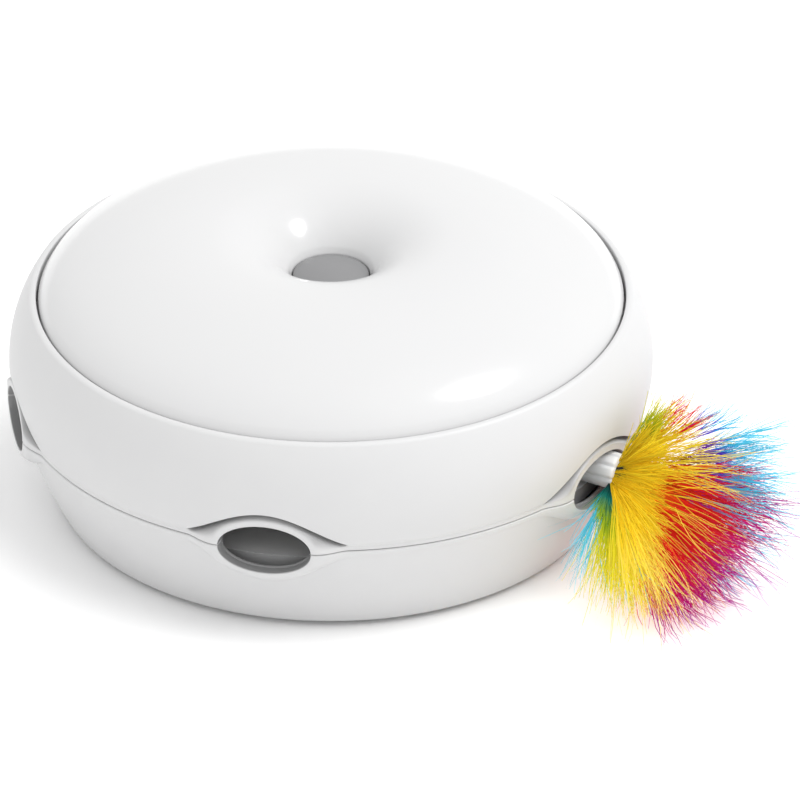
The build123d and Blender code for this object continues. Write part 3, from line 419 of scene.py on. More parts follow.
@dataclass
class Casing:
    """The two halves of the casing, with the raised lids round the five paw holes. Millimetres."""

    belly_center: Point = (73.0, 57.0)
    belly_radius: float = 47.0
    break_height: float = 47.2
    flank_radius: float = 165.0
    seam: float = 41.6
    seam_gap: float = 0.14
    seam_chamfer: float = 0.35
    wall: float = 2.5
    floor: Point = (2.0, 4.5)
    floor_joint: float = 88.0
    foot_fillet: float = 2.4
    roof: Point = (74.0, 76.5)
    roof_joint: float = 109.6
    groove_radius: float = 109.7
    rim: float = 83.5
    rim_fillet: float = 0.5
    shoulder_fillet: float = 2.4
    hole_count: int = 5
    hole_pitch: float = 68.0
    hole_azimuth: float = -4.0
    hole_half_width: float = 17.5
    hole_half_height: float = 9.6
    lid_half_width: float = 32.0
    lid_tip: float = 3.0
    lid_height: Point = (15.2, 16.2)
    lip_face: float = 119.4
    lip_width: float = 1.3
    brow_depth: float = 8.0
    brow_share: float = 0.75
    # Painted shade under each brow: rows it covers, strength at the crease, and how long it stays full before
    # fading.
    brow_rows: int = 13
    brow_painted_shade: float = 0.85
    brow_hold: float = 0.3
    scoop_wall: float = 1.6
    tunnel_depth: float = 4.4
    bead: float = 0.5
    hole_columns: int = 56
    side_columns: int = 34
    wall_rows: int = 24
    plain_columns: int = 14
    # Rows of each hole's throat that take painted shade.
    throat_rows: int = 6
    inner_rows: int = 26

    def wall_radius(self, height: np.ndarray | float) -> np.ndarray | float:
        """Radius of the plain wall at a height.

        Args:
            height: height in millimetres.

        Returns:
            The radius.
        """
        drop = math.asin((self.belly_center[1] - self.break_height) / self.belly_radius)
        run = self.belly_radius - self.flank_radius
        center = (self.belly_center[0] + run * math.cos(drop), self.belly_center[1] - run * math.sin(drop))
        height = np.asarray(height, float)
        belly = self.belly_center[0] + np.sqrt(
            np.maximum(self.belly_radius**2 - (height - self.belly_center[1]) ** 2, 0))
        flank = center[0] + np.sqrt(self.flank_radius**2 - (height - center[1]) ** 2)
        return np.where(height >= self.break_height, belly, flank)

    def stations(self) -> np.ndarray:
        """Places along the seam in one hole's share of the casing, from its middle, in millimetres.

        Returns:
            The places, in rising order.
        """
        end = math.radians(self.hole_pitch / 2) * self.wall_radius(self.seam)
        inside = self.hole_half_width * np.sin(np.linspace(-math.pi / 2, math.pi / 2, self.hole_columns + 1))
        beside = np.linspace(self.hole_half_width, self.lid_half_width, self.side_columns + 1)[1:]
        beyond = np.linspace(self.lid_half_width, end, self.plain_columns + 1)[1:-1]
        right = np.concatenate([beside, beyond])
        return np.concatenate([-right[::-1], inside, right, [end]])

    def bell(self, place: float, power: float) -> float:
        """Share of a lid's full form at a place along the seam.

        Args:
            place: place along the seam from the hole's middle.
            power: how broad the form is; less is broader.

        Returns:
            The share.
        """
        if abs(place) >= self.lid_half_width:
            return 0.0
        return (0.5 + 0.5 * math.cos(math.pi * place / self.lid_half_width)) ** power

    def section(self, place: float, side: Side) -> list[Point]:
        """Closed section of one half at a place along the seam.

        Args:
            place: place along the seam from the hole's middle.
            side: which half.

        Returns:
            Radius and height of the section's points, the same number at every place.
        """
        way = side.value
        inside = max(0.0, 1 - (place / self.hole_half_width) ** 2)
        edge = max(self.hole_half_height * math.sqrt(inside), self.seam_gap)
        base, lip, crease = float(self.wall_radius(self.seam)), self.lip(place), self.crease(place, side)
        bevel, bead = self.seam_chamfer, min(self.bead, 0.3 * edge)
        rows = self.rim_rows() if side is Side.UPPER else self.foot_rows()
        for height in np.linspace(way * (rows[-1][1] - self.seam), crease, self.wall_rows + 1)[1:]:
            rows.append((float(self.wall_radius(self.seam + way * height)), self.seam + way * height))
        heights = self.lid_heights(place, edge + bevel, side)
        rows += [(self.face(place, height, side), self.seam + way * height) for height in heights]
        inner = base - self.wall
        inner += (lip - self.tunnel_depth - inner) * float(smooth(edge / 3))
        rows += [(lip - bevel, self.seam + way * edge)]
        for share in (0.35, 0.7):
            rows.append((lip - bevel + (inner + bead - lip + bevel) * share, self.seam + way * edge))
        rows += [(inner + bead, self.seam + way * edge), (inner, self.seam + way * (edge - bead))]
        rows += [(inner - bead, self.seam + way * (edge - bead))]
        last = way * ((self.roof[0] if side is Side.UPPER else self.floor[1]) - self.seam)
        for height in np.linspace(edge + 1, last, self.inner_rows):
            plain = float(self.wall_radius(self.seam + way * height)) - self.wall
            if height < crease:
                plain = min(plain, self.face(place, height, side) - self.scoop_wall)
            blend = float(smooth((height - edge) / 4))
            rows.append((inner - bead + (plain - inner + bead) * blend, self.seam + way * height))
        return rows

    def lip(self, place: float) -> float:
        """Radius of the hole's flat rim, or of the seam beside it, at a place along the seam.

        Args:
            place: place along the seam from the hole's middle.

        Returns:
            The radius.
        """
        base = float(self.wall_radius(self.seam))
        spread = smooth((abs(place) - self.hole_half_width) / (self.lid_half_width - self.hole_half_width))
        return base + (math.hypot(self.lip_face, place) - base) * float(1 - spread)

    def crease(self, place: float, side: Side) -> float:
        """Height of a lid's far edge above or below the seam at a place along the seam.

        Args:
            place: place along the seam from the hole's middle.
            side: which half.

        Returns:
            The height.
        """
        full = self.lid_height[0] if side is Side.UPPER else self.lid_height[1]
        return self.lid_tip + (full - self.lid_tip) * self.bell(place, 0.67)

    def gap(self, place: float, height: float) -> float:
        """Distance of a point on a lid from the hole's rim or the seam, whichever is nearer.

        Args:
            place: place along the seam from the hole's middle.
            height: height above or below the seam.

        Returns:
            The distance, with a soft change from one to the other.
        """
        across, up = place / self.hole_half_width, height / self.hole_half_height
        out = math.hypot(across, up)
        steep = math.hypot(across / self.hole_half_width, up / self.hole_half_height) / out
        rim = max((out - 1) / steep, 1e-4)
        return rim * height / math.hypot(rim, height)

    def taper(self, place: np.ndarray | float) -> np.ndarray | float:
        """Share of the brow's depth at a place along the seam.

        Args:
            place: place along the seam from the hole's middle.

        Returns:
            The share, 0 at the lid's ends.
        """
        return smooth((1 - np.abs(place) / self.lid_half_width) * 9)

    def face(self, place: float, height: float, side: Side) -> float:
        """Radius of a lid's outer face.

        Args:
            place: place along the seam from the hole's middle.
            height: height above or below the seam, inside the lid.
            side: which half.

        Returns:
            The radius.
        """
        crease, lip, gap = self.crease(place, side), self.lip(place), self.gap(place, height)
        foot = float(self.wall_radius(self.seam + side.value * crease))
        share = (crease - height) / (gap + crease - height)
        if side is Side.LOWER:
            return foot + (lip - foot) * (1 - (1 - share) ** 2.2)
        if gap < self.lip_width:
            return lip
        deep = self.brow_depth * float(self.taper(place))
        share = min(1.0, share * (1 + self.lip_width / (crease - height + 0.5)))
        bow = float(smooth(share / self.brow_share))
        step = min(1.0, (crease - height) / 0.5)
        return foot - deep * step + (lip - foot + deep) * bow

    def lid_heights(self, place: float, edge: float, side: Side) -> list[float]:
        """Heights at which a lid is sampled, from its far edge to the hole's rim or the seam.

        Args:
            place: place along the seam from the hole's middle.
            edge: height of the hole's rim or the seam there.
            side: which half.

        Returns:
            The heights, the same number at every place.
        """
        crease = self.crease(place, side)
        if side is Side.LOWER:
            return [crease + (edge - crease) * (step / 18) ** 1.25 for step in range(1, 19)]
        low, high = edge, crease
        for _ in range(30):
            middle = (low + high) / 2
            low, high = (middle, high) if self.gap(place, middle) < self.lip_width else (low, middle)
        shelf = min(high, edge + 0.6 * (crease - edge))
        under = min(0.5, 0.2 * (crease - shelf))
        rows = [crease - 0.4 * under, crease - under]
        rows += [crease - under + (shelf + 0.02 - crease + under) * step / 13 for step in range(1, 14)]
        return rows + [shelf - 0.02, shelf + (edge - shelf) * 0.5, edge]

    def rim_rows(self) -> list[Point]:
        """Points of the upper half from the roof's joint over the rim to the shoulder.

        Returns:
            Radius and height of each.
        """
        across = self.belly_radius - self.shoulder_fillet
        up = self.rim - self.shoulder_fillet - self.belly_center[1]
        middle = (self.belly_center[0] + math.sqrt(across**2 - up**2), self.rim - self.shoulder_fillet)
        lean = math.degrees(math.asin(up / across))
        corner = (self.groove_radius + self.rim_fillet, self.rim - self.rim_fillet)
        low, high = self.roof
        rows = [(self.roof_joint, low), (self.roof_joint, high), (self.groove_radius, high)]
        return rows + arc(corner, self.rim_fillet, 180, 90, 3) + arc(middle, self.shoulder_fillet, 90, lean, 8)

    def foot_rows(self) -> list[Point]:
        """Points of the lower half from the floor's joint to the foot's rounded edge.

        Returns:
            Radius and height of each.
        """
        heights = np.array([self.floor[0] + self.foot_fillet])
        radius = float(self.wall_radius(heights)[0])
        lean = math.degrees(math.atan(float(self.wall_radius(heights + 1)[0]) - radius))
        inset = self.foot_fillet / math.cos(math.radians(lean))
        middle = (radius - inset, self.floor[0] + self.foot_fillet)
        rows = [(self.floor_joint, self.floor[1]), (self.floor_joint, self.floor[0])]
        return rows + arc(middle, self.foot_fillet, -90, -lean, 8)

    def build(self) -> None:
        """Make both halves."""
        places = self.stations()
        end = math.radians(self.hole_pitch / 2)
        turns = np.arctan(places / self.lip_face)
        beyond = np.abs(places) > self.lid_half_width
        tip = math.atan(self.lid_half_width / self.lip_face)
        spare = (np.abs(places) - self.lid_half_width) / (places.max() - self.lid_half_width)
        turns = np.where(beyond, np.sign(places) * (tip + (end - tip) * spare), turns)
        steps = np.arange(self.hole_count) - (self.hole_count - 1) / 2
        holes = np.radians(self.hole_azimuth + self.hole_pitch * steps)
        back = np.linspace(holes[-1] + end, holes[0] - end + 2 * math.pi, 8)[1:]
        angles = np.concatenate([hole + turns for hole in holes] + [back])
        halves = ((Side.UPPER, "upper_shell", "upper_casing"), (Side.LOWER, "base_shell", "lower_casing"))
        for side, node, name in halves:
            share = [np.array(self.section(float(place), side)) for place in places]
            sections = share * self.hole_count + [share[-1]] * len(back)
            points = np.concatenate([
                np.column_stack([rows[:, 0] * math.cos(angle), rows[:, 0] * math.sin(angle), rows[:, 1]])
                for angle, rows in zip(angles, sections)
            ])
            faces = grid_faces(len(share[0]), len(angles), True, True)
            if side is Side.LOWER:
                faces = [quad[::-1] for quad in faces]
            made = piece(name, points, faces, SHELL, Body.CASING, (node,))
            # Painted shade: the "inside" attribute is 1 on each hole's throat rows, where the shell takes its
            # darker inside colour.
            inside = np.zeros((len(angles), len(share[0])))
            throat = np.tile(np.abs(places) < self.hole_half_width, self.hole_count)
            inside[:len(throat)][throat, -self.throat_rows - self.inner_rows:-self.inner_rows] = 1
            # More painted shade fades down from each brow's crease, fullest at the lid's middle.
            if side is Side.UPPER:
                first = len(self.rim_rows()) + self.wall_rows
                down = (1 + self.brow_hold) * np.arange(self.brow_rows) / self.brow_rows
                fade = self.brow_painted_shade * (1 - smooth(down - self.brow_hold))
                inside[:len(throat), first:first + self.brow_rows] += np.outer(
                    np.tile(self.taper(places), self.hole_count), fade)
            mark(made, "inside", inside)

    def dress(self) -> None:
        """Keep the CAD floor and roof, with their posts and holes, as pieces of their own."""
        core_of("base_shell", "casing_floor", self.floor_joint, 1.0, 36.0)
        core_of("upper_shell", "casing_roof", self.roof_joint, 70.0, 83.0)


@dataclass
class Lid:
    """The glossy donut lid and the button in its dimple. Millimetres."""

    hole_radius: float = 14.6
    crown: Point = (45.0, 108.0)
    dimple_radius: float = 37.0
    edge: Point = (108.8, 83.25)
    edge_slope: float = 57.4
    hardness: float = 12.0
    wall: float = 2.2
    edge_fillet: float = 1.2
    skirt_bottom: float = 76.5
    collar_bottom: float = 86.0
    hook_count: int = 5
    hook: tuple[float, float, float] = (1.6, 10.0, 0.9)
    hook_heights: tuple[float, float, float] = (71.8, 73.5, 81.5)
    button_radius: float = 14.2
    button_edge: float = 91.4
    button_crown: float = 94.4
    button_fillet: float = 0.9
    flange: tuple[float, float, float] = (16.0, 84.5, 85.7)
    stem: Point = (4.0, 84.1)

    def fall(self, radius: np.ndarray, inset: float) -> np.ndarray:
        """Height of the lid's face outside the crown.

        Args:
            radius: distances from the axis.
            inset: how far the face lies under the outer one.

        Returns:
            The heights.
        """
        run, drop = self.edge[0] - self.crown[0], self.crown[1] - self.edge[1]
        hard = (run * math.tan(math.radians(self.edge_slope)) - 2 * drop) / (self.hardness - 2)
        share = (radius - self.crown[0]) / run
        slope = (2 * (drop - hard) * share + self.hardness * hard * share ** (self.hardness - 1)) / run
        height = self.crown[1] - (drop - hard) * share**2 - hard * share**self.hardness
        return height - inset * np.hypot(1, slope)

    def line(self, inset: float, hole: float, edge: float) -> list[Point]:
        """Points of the lid's face from the hole to the edge, inset from the outer face.

        Args:
            inset: how far the face lies under the outer one.
            hole: radius where it starts.
            edge: radius where it ends.

        Returns:
            Radius and height of each point.
        """
        dip = (self.crown[0], self.crown[1] - self.dimple_radius)
        hole_angle = 180 - math.degrees(math.acos((self.crown[0] - hole) / (self.dimple_radius - inset)))
        radii = edge - (edge - self.crown[0]) * np.linspace(1, 0, 49) ** 1.3
        flank = list(zip(radii.tolist(), self.fall(radii, inset).tolist()))
        return arc(dip, self.dimple_radius - inset, hole_angle, 90, 26) + flank[1:]

    def build(self) -> None:
        """Make the lid with its collar, skirt and hooks."""
        outer = self.line(0, self.hole_radius, self.edge[0])
        inner = self.line(self.wall, self.hole_radius + self.wall, self.edge[0] - self.wall)
        corner = outer[-1]
        rounded = [p for p in outer if p[0] < corner[0] - self.edge_fillet * 0.9]
        rounded += arc((corner[0] - self.edge_fillet, corner[1] - 0.9), self.edge_fillet, 40, 0, 4)
        rim = outer[0]
        lip = [(rim[0], rim[1] - 0.9), (rim[0] + 0.12, rim[1] - 0.3), (rim[0] + 0.5, rim[1] + 0.22)]
        face = lip + [p for p in rounded if p[0] > rim[0] + 0.8]
        outline = face + [(self.edge[0], self.skirt_bottom), (inner[-1][0], self.skirt_bottom)]
        outline += inner[::-1] + [(inner[0][0], self.collar_bottom), (self.hole_radius, self.collar_bottom)]
        points, faces = revolved(outline, 240)
        points, faces = self.with_hooks(points, [quad[::-1] for quad in faces])
        piece("gloss_lid", points, faces, LID, Body.CASING, ("donut_lid",), 28.0)

    def with_hooks(self, points: np.ndarray, faces: list) -> tuple[np.ndarray, list]:
        """Add the snap hooks under the skirt to the lid's mesh.

        Args:
            points: the lid's points.
            faces: the lid's faces.

        Returns:
            Points and faces with the hooks.
        """
        thick, wide, barb = self.hook
        circle = self.edge[0] - self.wall - thick / 2
        low, mid, high = self.hook_heights
        blocks = (
            (circle - thick / 2, circle + thick / 2, low, high),
            (circle + thick / 2, circle + thick / 2 + barb, low, mid),
        )
        order = ((0, 1, 3, 2), (4, 6, 7, 5), (0, 4, 5, 1), (2, 3, 7, 6), (0, 2, 6, 4), (1, 5, 7, 3))
        for number in range(self.hook_count):
            turn = 2 * math.pi * (number + 0.5) / self.hook_count
            for near, far, bottom, top in blocks:
                corners = [(r, s * wide / 2, h) for r in (near, far) for s in (-1, 1) for h in (bottom, top)]
                placed = [
                    (x * math.cos(turn) - y * math.sin(turn), x * math.sin(turn) + y * math.cos(turn), z)
                    for x, y, z in corners
                ]
                faces += [tuple(len(points) + i for i in quad) for quad in order]
                points = np.concatenate([points, placed])
        return points, faces

    def dress(self) -> None:
        """Make the satin button that sits in the lid's hole."""
        rise = self.button_crown - self.button_edge
        bow = (self.button_radius**2 + rise**2) / (2 * rise)
        lean = math.degrees(math.asin(self.button_radius / bow))
        dome = arc((0.0, self.button_crown - bow), bow, 90, 90 - lean * 0.93, 24)
        corner = (self.button_radius - self.button_fillet, self.button_edge - 0.62)
        edge = arc(corner, self.button_fillet, 62, 0, 5)
        reach, low, high = self.flange
        bore = self.button_radius - 1.8
        under = self.button_edge - 1.8
        outline = dome + edge + [(self.button_radius, high), (reach, high), (reach, low), (bore, low)]
        outline += [(bore, under)]
        outline += [(self.stem[0], under), (self.stem[0], self.stem[1]), (0.0, self.stem[1])]
        points, faces = revolved(outline, 128)
        piece("push_button", points, [quad[::-1] for quad in faces], BUTTON, Body.BUTTON, ("button_cap",))


@dataclass
class Sleeve:
    """The soft fluted sleeve on the wand. Millimetres."""

    root: float = 99.0
    tip: float = 123.0
    radius: float = 6.8
    height: float = 41.6
    flutes: int = 8
    flute_depth: float = 0.9
    bore: Point = (108.0, 2.6)
    segments: int = 192

    def build(self) -> None:
        """Make the sleeve round the arm's spigot."""
        body = [(x, self.radius) for x in np.linspace(self.root + 0.7, self.tip - 1.1, 14)]
        outline = [(self.bore[0], 0.0), self.bore, (self.root, self.bore[1]), (self.root, self.radius - 0.7)]
        outline += body + [(self.tip - 0.5, self.radius - 0.2), (self.tip, self.radius - 0.9), (self.tip, 0.0)]
        points = []
        for turn in np.linspace(0, 2 * math.pi, self.segments, endpoint=False):
            groove = abs(math.cos(self.flutes / 2 * turn)) ** 9
            for along, radius in outline:
                swell = 0.1 * math.sin(math.pi * (along - self.root) / (self.tip - self.root))
                r = radius + (swell - self.flute_depth * groove if radius > self.bore[1] else 0)
                points.append((along, r * math.cos(turn), self.height + r * math.sin(turn)))
        faces = grid_faces(len(outline), self.segments, False, True)
        piece("soft_sleeve", np.array(points), faces, SLEEVE, Body.WAND, ("wand_sleeve",), 50.0)


@dataclass(frozen=True)
class Spray:
    """One spray of plumes in the tuft. Angles are seen from the front, 0 to the right and 90 up.

    Attributes:
        turn: first and last angle of the fan in degrees.
        depth: least and most lean towards the viewer, as a share of the plume.
        length: shortest and longest plume in millimetres, at the fan's two ends.
        plumes: number of plumes.
        barbs: strands on each plume.
        start: nearest and farthest start of a strand along its plume, as a share of the length.
        splay: angle in degrees at which strands leave the quill.
        width: strand's width at its root in millimetres.
        dye: least place on the dye's scale.
    """

    turn: Point
    depth: Point
    length: tuple[Point, Point]
    plumes: int
    barbs: int
    start: Point
    splay: float
    width: float
    dye: float = 0.0


@dataclass
class Tuft:
    """The dyed marabou tuft on the wand's end. Millimetres."""

    root: tuple[float, float, float] = (121.8, 0.0, 39.6)
    collar: float = 5.5
    front: float = 30.0
    tilt: float = 30.3
    longest: float = 80.0
    lowest: float = 2.0
    least_ahead: float = 0.06
    steps: int = 8
    seed: int = 7

    def axes(self) -> tuple[np.ndarray, np.ndarray, np.ndarray]:
        """Directions to the right, up and towards the viewer in the front view.

        Returns:
            The three directions.
        """
        turn, lift = math.radians(self.front), math.radians(self.tilt)
        right = np.array([math.cos(turn), math.sin(turn), 0])
        up = np.array([-math.sin(turn) * math.sin(lift), math.cos(turn) * math.sin(lift), math.cos(lift)])
        near = np.array([math.sin(turn) * math.cos(lift), -math.cos(turn) * math.cos(lift), math.sin(lift)])
        return right, up, near

    def quill(self, spray: Spray, share: float,
              rng: np.random.Generator) -> tuple[np.ndarray, np.ndarray, float]:
        """Set one plume of a spray.

        Args:
            spray: the spray.
            share: the plume's place in the fan.
            rng: source of unevenness.

        Returns:
            The plume's start, direction and length.
        """
        right, up, near = self.axes()
        angle = math.radians(spray.turn[0] + (spray.turn[1] - spray.turn[0]) * share)
        low, high = (spray.length[0][k] + (spray.length[1][k] - spray.length[0][k]) * share for k in (0, 1))
        lean = spray.depth[0] + (spray.depth[1] - spray.depth[0]) * rng.random()
        way = math.cos(angle) * right + math.sin(angle) * up + lean * near
        way[0] = max(way[0], self.least_ahead)
        outward = way + near * max(lean, 0) * (0.3 + 1.6 * rng.random())
        outward[0] = 0
        outward /= max(np.linalg.norm(outward), 0.3)
        return np.array(self.root) + self.collar * outward, way, low + (high - low) * rng.beta(1.6, 1.2)

    def barb(self, spray: Spray, start: np.ndarray, way: np.ndarray, length: float,
             rng: np.random.Generator) -> tuple[np.ndarray, np.ndarray]:
        """Grow one strand on a plume.

        Args:
            spray: the plume's spray.
            start: the plume's start.
            way: the plume's direction; its size scales the length.
            length: the plume's length.
            rng: source of unevenness.

        Returns:
            The strand's middle line, and its left and right edges as pairs of points.
        """
        near = self.axes()[2]
        side = np.cross(way, near + 0.55 * rng.normal(size=3))
        side *= (1 if rng.random() < 0.5 else -1) / np.linalg.norm(side)
        t = np.linspace(0, 1, self.steps + 1)
        begin = spray.start[0] + (spray.start[1] - spray.start[0]) * rng.random()
        own = length * (1 - begin) * (0.72 + 0.36 * rng.random())
        leave = math.tan(math.radians(spray.splay * abs(rng.normal(0.75, 0.4))))
        wave, phase = rng.normal(0, 0.022), rng.random() * 6.3
        drift = leave * (t - 0.68 * t * t) + rng.normal(0, 0.20) * t * t + wave * t * np.sin(6 * t + phase)
        line = start + np.outer(begin * length + own * t, way) + np.outer(own * drift, side)
        line[:, 2] -= 0.04 * own * t * t
        low = line[:, 2] < self.lowest
        line[low, 2] = self.lowest + 0.05 * (line[low, 2] - self.lowest)
        half = spray.width / 2 * (1 - 0.6 * t * t)
        flat = np.cross(way, near + 0.7 * rng.normal(size=3))
        flat /= np.linalg.norm(flat)
        return line, np.stack([line - np.outer(half, flat), line + np.outer(half, flat)], 1).reshape(-1, 3)

    def strands(self, sprays: tuple[Spray, ...], seed: int) -> tuple[np.ndarray, list, np.ndarray, np.ndarray]:
        """Grow the strands of one dye.

        Args:
            sprays: the fans of plumes.
            seed: seed for the strands' unevenness.

        Returns:
            Points, faces, and for each point its share of the tuft's reach and its strand's shade.
        """
        rng = np.random.default_rng(seed)
        points, faces, reach, shade = [], [], [], []
        for spray in sprays:
            for number in range(spray.plumes):
                start, way, length = self.quill(spray, (number + rng.random()) / spray.plumes, rng)
                for _ in range(spray.barbs):
                    line, edges = self.barb(spray, start, way, length, rng)
                    first = len(reach)
                    points.append(edges)
                    faces += [(a, a + 1, a + 3, a + 2) for a in range(first, first + 2 * self.steps, 2)]
                    away = np.linalg.norm(line - np.array(self.root), axis=1) * (1 + rng.normal(0, 0.07))
                    dye = np.clip(spray.dye + (1 - spray.dye) * away / self.longest, 0, 1)
                    reach += np.repeat(dye, 2).tolist()
                    shade += [1 + rng.normal(0, 0.12)] * (2 * (self.steps + 1))
        return np.concatenate(points), faces, np.array(reach), np.array(shade)

    def build(self, dyes: dict[str, tuple[PlumeFinish, tuple[Spray, ...], str]]) -> None:
        """Make one piece for each dye.

        Args:
            dyes: for each piece's name its finish, its sprays and the CAD node it stands for.
        """
        for number, (name, (finish, sprays, node)) in enumerate(dyes.items()):
            points, faces, reach, shade = self.strands(sprays, self.seed + number)
            made = piece(name, points, faces, finish, Body.WAND, (node,), 180.0)
            made.visible_shadow = False
            mark(made, "reach", reach)
            mark(made, "shade", shade)


GOLD = PlumeFinish("feather_gold", (
    (0.0, (0.66, 0.46, 0.012)),
    (0.14, (0.80, 0.61, 0.02)),
    (0.4, (0.84, 0.68, 0.03)),
    (1.0, (0.90, 0.77, 0.25)),
))
LIME = PlumeFinish("feather_lime", (
    (0.0, (0.002, 0.02, 0.02)),
    (0.10, (0.003, 0.05, 0.05)),
    (0.17, (0.008, 0.24, 0.20)),
    (0.27, (0.30, 0.46, 0.025)),
    (0.4, (0.66, 0.62, 0.02)),
    (0.7, (0.70, 0.62, 0.03)),
    (1.0, (0.70, 0.64, 0.20)),
))
SCARLET = PlumeFinish("feather_scarlet", (
    (0.0, (0.74, 0.46, 0.014)),
    (0.16, (0.78, 0.36, 0.012)),
    (0.28, (0.78, 0.17, 0.012)),
    (0.38, (0.72, 0.03, 0.014)),
    (0.58, (0.66, 0.016, 0.03)),
    (0.70, (0.50, 0.010, 0.20)),
    (0.84, (0.34, 0.014, 0.34)),
    (1.0, (0.45, 0.12, 0.50)),
))
VIOLET = PlumeFinish("feather_violet", (
    (0.0, (0.74, 0.40, 0.012)),
    (0.20, (0.68, 0.12, 0.01)),
    (0.33, (0.15, 0.012, 0.01)),
    (0.42, (0.20, 0.014, 0.42)),
    (0.49, (0.10, 0.04, 0.58)),
    (0.55, (0.05, 0.50, 0.74)),
    (0.8, (0.16, 0.66, 0.82)),
    (1.0, (0.45, 0.80, 0.90)),
))
DYES = {
    "gold_plumes": (GOLD, (
        Spray((52, 36), (0.0, 0.6), ((14, 24), (13, 22)), 10, 20, (0.0, 0.5), 14, 0.36),
        Spray((40, -48), (0.25, 1.1), ((14, 23), (13, 22)), 34, 34, (0.0, 0.45), 19, 0.38),
        Spray((-44, -78), (0.4, 1.0), ((17, 30), (26, 42)), 26, 34, (0.0, 0.45), 16, 0.38),
        Spray((-58, -84), (0.35, 0.9), ((40, 55), (38, 54)), 12, 12, (0.05, 0.6), 12, 0.32),
        Spray((44, 8), (0.0, 0.5), ((22, 36), (28, 44)), 10, 9, (0.1, 0.6), 11, 0.30),
        Spray((16, -72), (0.2, 0.8), ((40, 62), (44, 64)), 30, 6, (0.05, 0.6), 24, 0.30),
    ), "plumes_gold"),
    "lime_plumes": (LIME, (
        Spray((58, 42), (-0.2, 0.5), ((24, 34), (21, 31)), 8, 14, (0.15, 0.65), 11, 0.30),
        Spray((-74, -102), (0.45, 0.9), ((34, 54), (28, 44)), 18, 15, (0.0, 0.55), 13, 0.32),
        Spray((-88, -122), (0.5, 1.0), ((8, 16), (7, 14)), 12, 30, (0.0, 0.4), 18, 0.34),
    ), "plumes_lime"),
    "scarlet_plumes": (SCARLET, (
        Spray((-4, -70), (-0.05, 0.55), ((42, 60), (42, 58)), 44, 28, (0.08, 0.6), 17, 0.38),
        Spray((-8, -70), (0.0, 0.4), ((54, 72), (52, 68)), 24, 10, (0.25, 0.75), 9, 0.34),
        Spray((48, 22), (-0.3, 0.1), ((28, 40), (32, 46)), 8, 9, (0.35, 0.7), 9, 0.30),
        Spray((4, -64), (-1.1, -0.4), ((24, 38), (28, 42)), 16, 22, (0.05, 0.5), 18, 0.38),
    ), "plumes_scarlet"),
    "violet_plumes": (VIOLET, (
        Spray((8, -18), (-0.2, 0.35), ((44, 60), (46, 66)), 20, 16, (0.2, 0.65), 11, 0.36),
        Spray((32, 6), (-0.4, 0.1), ((36, 50), (48, 64)), 10, 7, (0.45, 0.8), 9, 0.30),
        Spray((14, -14), (-0.1, 0.4), ((52, 70), (58, 74)), 14, 7, (0.45, 0.8), 8, 0.32),
        Spray((-12, -50), (-0.2, 0.2), ((54, 70), (52, 68)), 12, 8, (0.45, 0.8), 9, 0.30),
        Spray((-104, -132), (0.35, 0.85), ((30, 42), (26, 38)), 14, 4, (0.02, 0.5), 12, 0.30, 0.56),
        Spray((-72, -104), (0.3, 0.7), ((38, 54), (34, 48)), 8, 3, (0.2, 0.6), 12, 0.28, 0.56),
    ), "plumes_violet"),
}


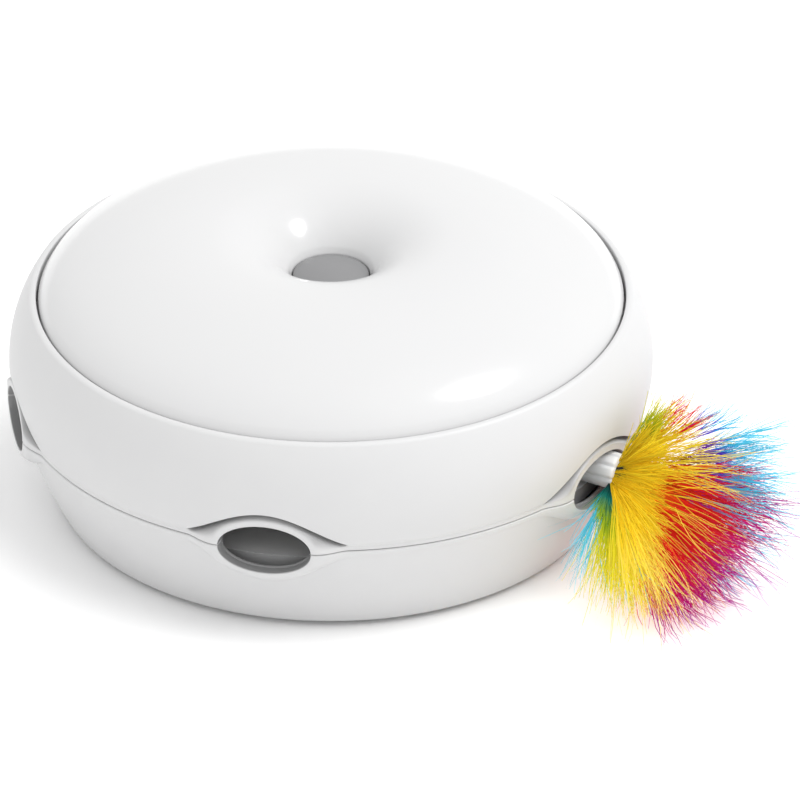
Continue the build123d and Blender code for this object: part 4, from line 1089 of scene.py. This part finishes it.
@dataclass
class Studio:
    """Camera, floor and light. Metres."""

    distance: float = 4.087
    height: float = 2.423
    azimuth: float = 30.0
    pitch: float = 30.277
    yaw: float = 0.3595
    lens: float = 570.3
    floor_size: float = 30.0
    sky: float = 0.98
    key: float = 1.95
    key_softness: float = 50.0
    spark: float = 2.0
    spark_width: float = 15.0

    def build(self) -> None:
        """Place the camera, the pale floor and the lamps."""
        scene = bpy.context.scene
        turn = math.radians(self.azimuth)
        camera = bpy.data.objects.new("camera", bpy.data.cameras.new("camera"))
        camera.data.lens = self.lens
        camera.data.clip_end = 100.0
        camera.location = (self.distance * math.sin(turn), -self.distance * math.cos(turn), self.height)
        pan, dip = turn - math.radians(self.yaw), math.radians(self.pitch)
        ahead = Vector((-math.sin(pan) * math.cos(dip), math.cos(pan) * math.cos(dip), -math.sin(dip)))
        camera.rotation_mode = "QUATERNION"
        camera.rotation_quaternion = ahead.to_track_quat("-Z", "Y")
        scene.collection.objects.link(camera)
        scene.camera = camera
        scene.view_settings.view_transform = "Standard"
        self.floor()
        self.light()

    def floor(self) -> None:
        """Lay the pale floor, which keeps the toy's shadow."""
        half = self.floor_size / 2
        mesh = bpy.data.meshes.new("floor")
        corners = [(-half, -half, 0), (half, -half, 0), (half, half, 0), (-half, half, 0)]
        mesh.from_pydata(corners, [], [(0, 1, 2, 3)])
        floor = bpy.data.objects.new("floor", mesh)
        bpy.context.scene.collection.objects.link(floor)
        paper = Finish("paper", (0.97, 0.97, 0.97), (0.96, 0.96, 0.96), (0.9, 0.95), scale=200.0, bump=0.0)
        mesh.materials.append(paper.material())

    def lamp(self, name: str, energy: float, width: float,
             place: tuple[float, float, float]) -> bpy.types.Object:
        """Hang a far lamp.

        Args:
            name: the lamp's name.
            energy: its strength.
            width: its width in degrees.
            place: direction to it, across to the right, back and up as the camera looks.

        Returns:
            The lamp.
        """
        turn = math.radians(self.azimuth)
        across, back, up = place
        made = bpy.data.objects.new(name, bpy.data.lights.new(name, "SUN"))
        made.data.energy = energy
        made.data.angle = math.radians(width)
        right, away = (math.cos(turn), math.sin(turn)), (-math.sin(turn), math.cos(turn))
        ahead = Vector((across * right[0] + back * away[0], across * right[1] + back * away[1], up))
        made.rotation_mode = "QUATERNION"
        made.rotation_quaternion = ahead.to_track_quat("Z", "Y")
        bpy.context.scene.collection.objects.link(made)
        return made

    def light(self) -> None:
        """Hang a soft key above and to the right, in an even pale room."""
        self.lamp("key", self.key, self.key_softness, (0.50, -0.06, 0.86)).visible_glossy = False
        self.lamp("spark", self.spark, self.spark_width, (0.549, 0.006, 0.835)).visible_diffuse = False
        world = bpy.data.worlds.new("room")
        bpy.context.scene.world = world
        world.use_nodes = True
        nodes, links = world.node_tree.nodes, world.node_tree.links
        ray = nodes.new("ShaderNodeLightPath")
        level = nodes.new("ShaderNodeMapRange")
        level.inputs["To Min"].default_value = self.sky
        level.inputs["To Max"].default_value = 1.0
        links.new(ray.outputs["Is Camera Ray"], level.inputs["Value"])
        links.new(level.outputs["Result"], nodes["Background"].inputs["Strength"])
        nodes["Background"].inputs["Color"].default_value = (1, 1, 1, 1)


def dress_nodes() -> None:
    """Give every CAD node that is shown its finish and slot."""
    for finish, names in NODE_FINISHES.items():
        for name in names:
            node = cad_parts[name]
            node.data.materials.clear()
            node.data.materials.append(finish.material())
    log.info("%d CAD nodes dressed", sum(len(names) for names in NODE_FINISHES.values()))


def main() -> None:
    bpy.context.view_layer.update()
    Studio().build()
    dress_nodes()
    casing = Casing()
    casing.build()
    casing.dress()
    lid = Lid()
    lid.build()
    lid.dress()
    Sleeve().build()
    Tuft().build(DYES)


if __name__ == "__main__":
    main()
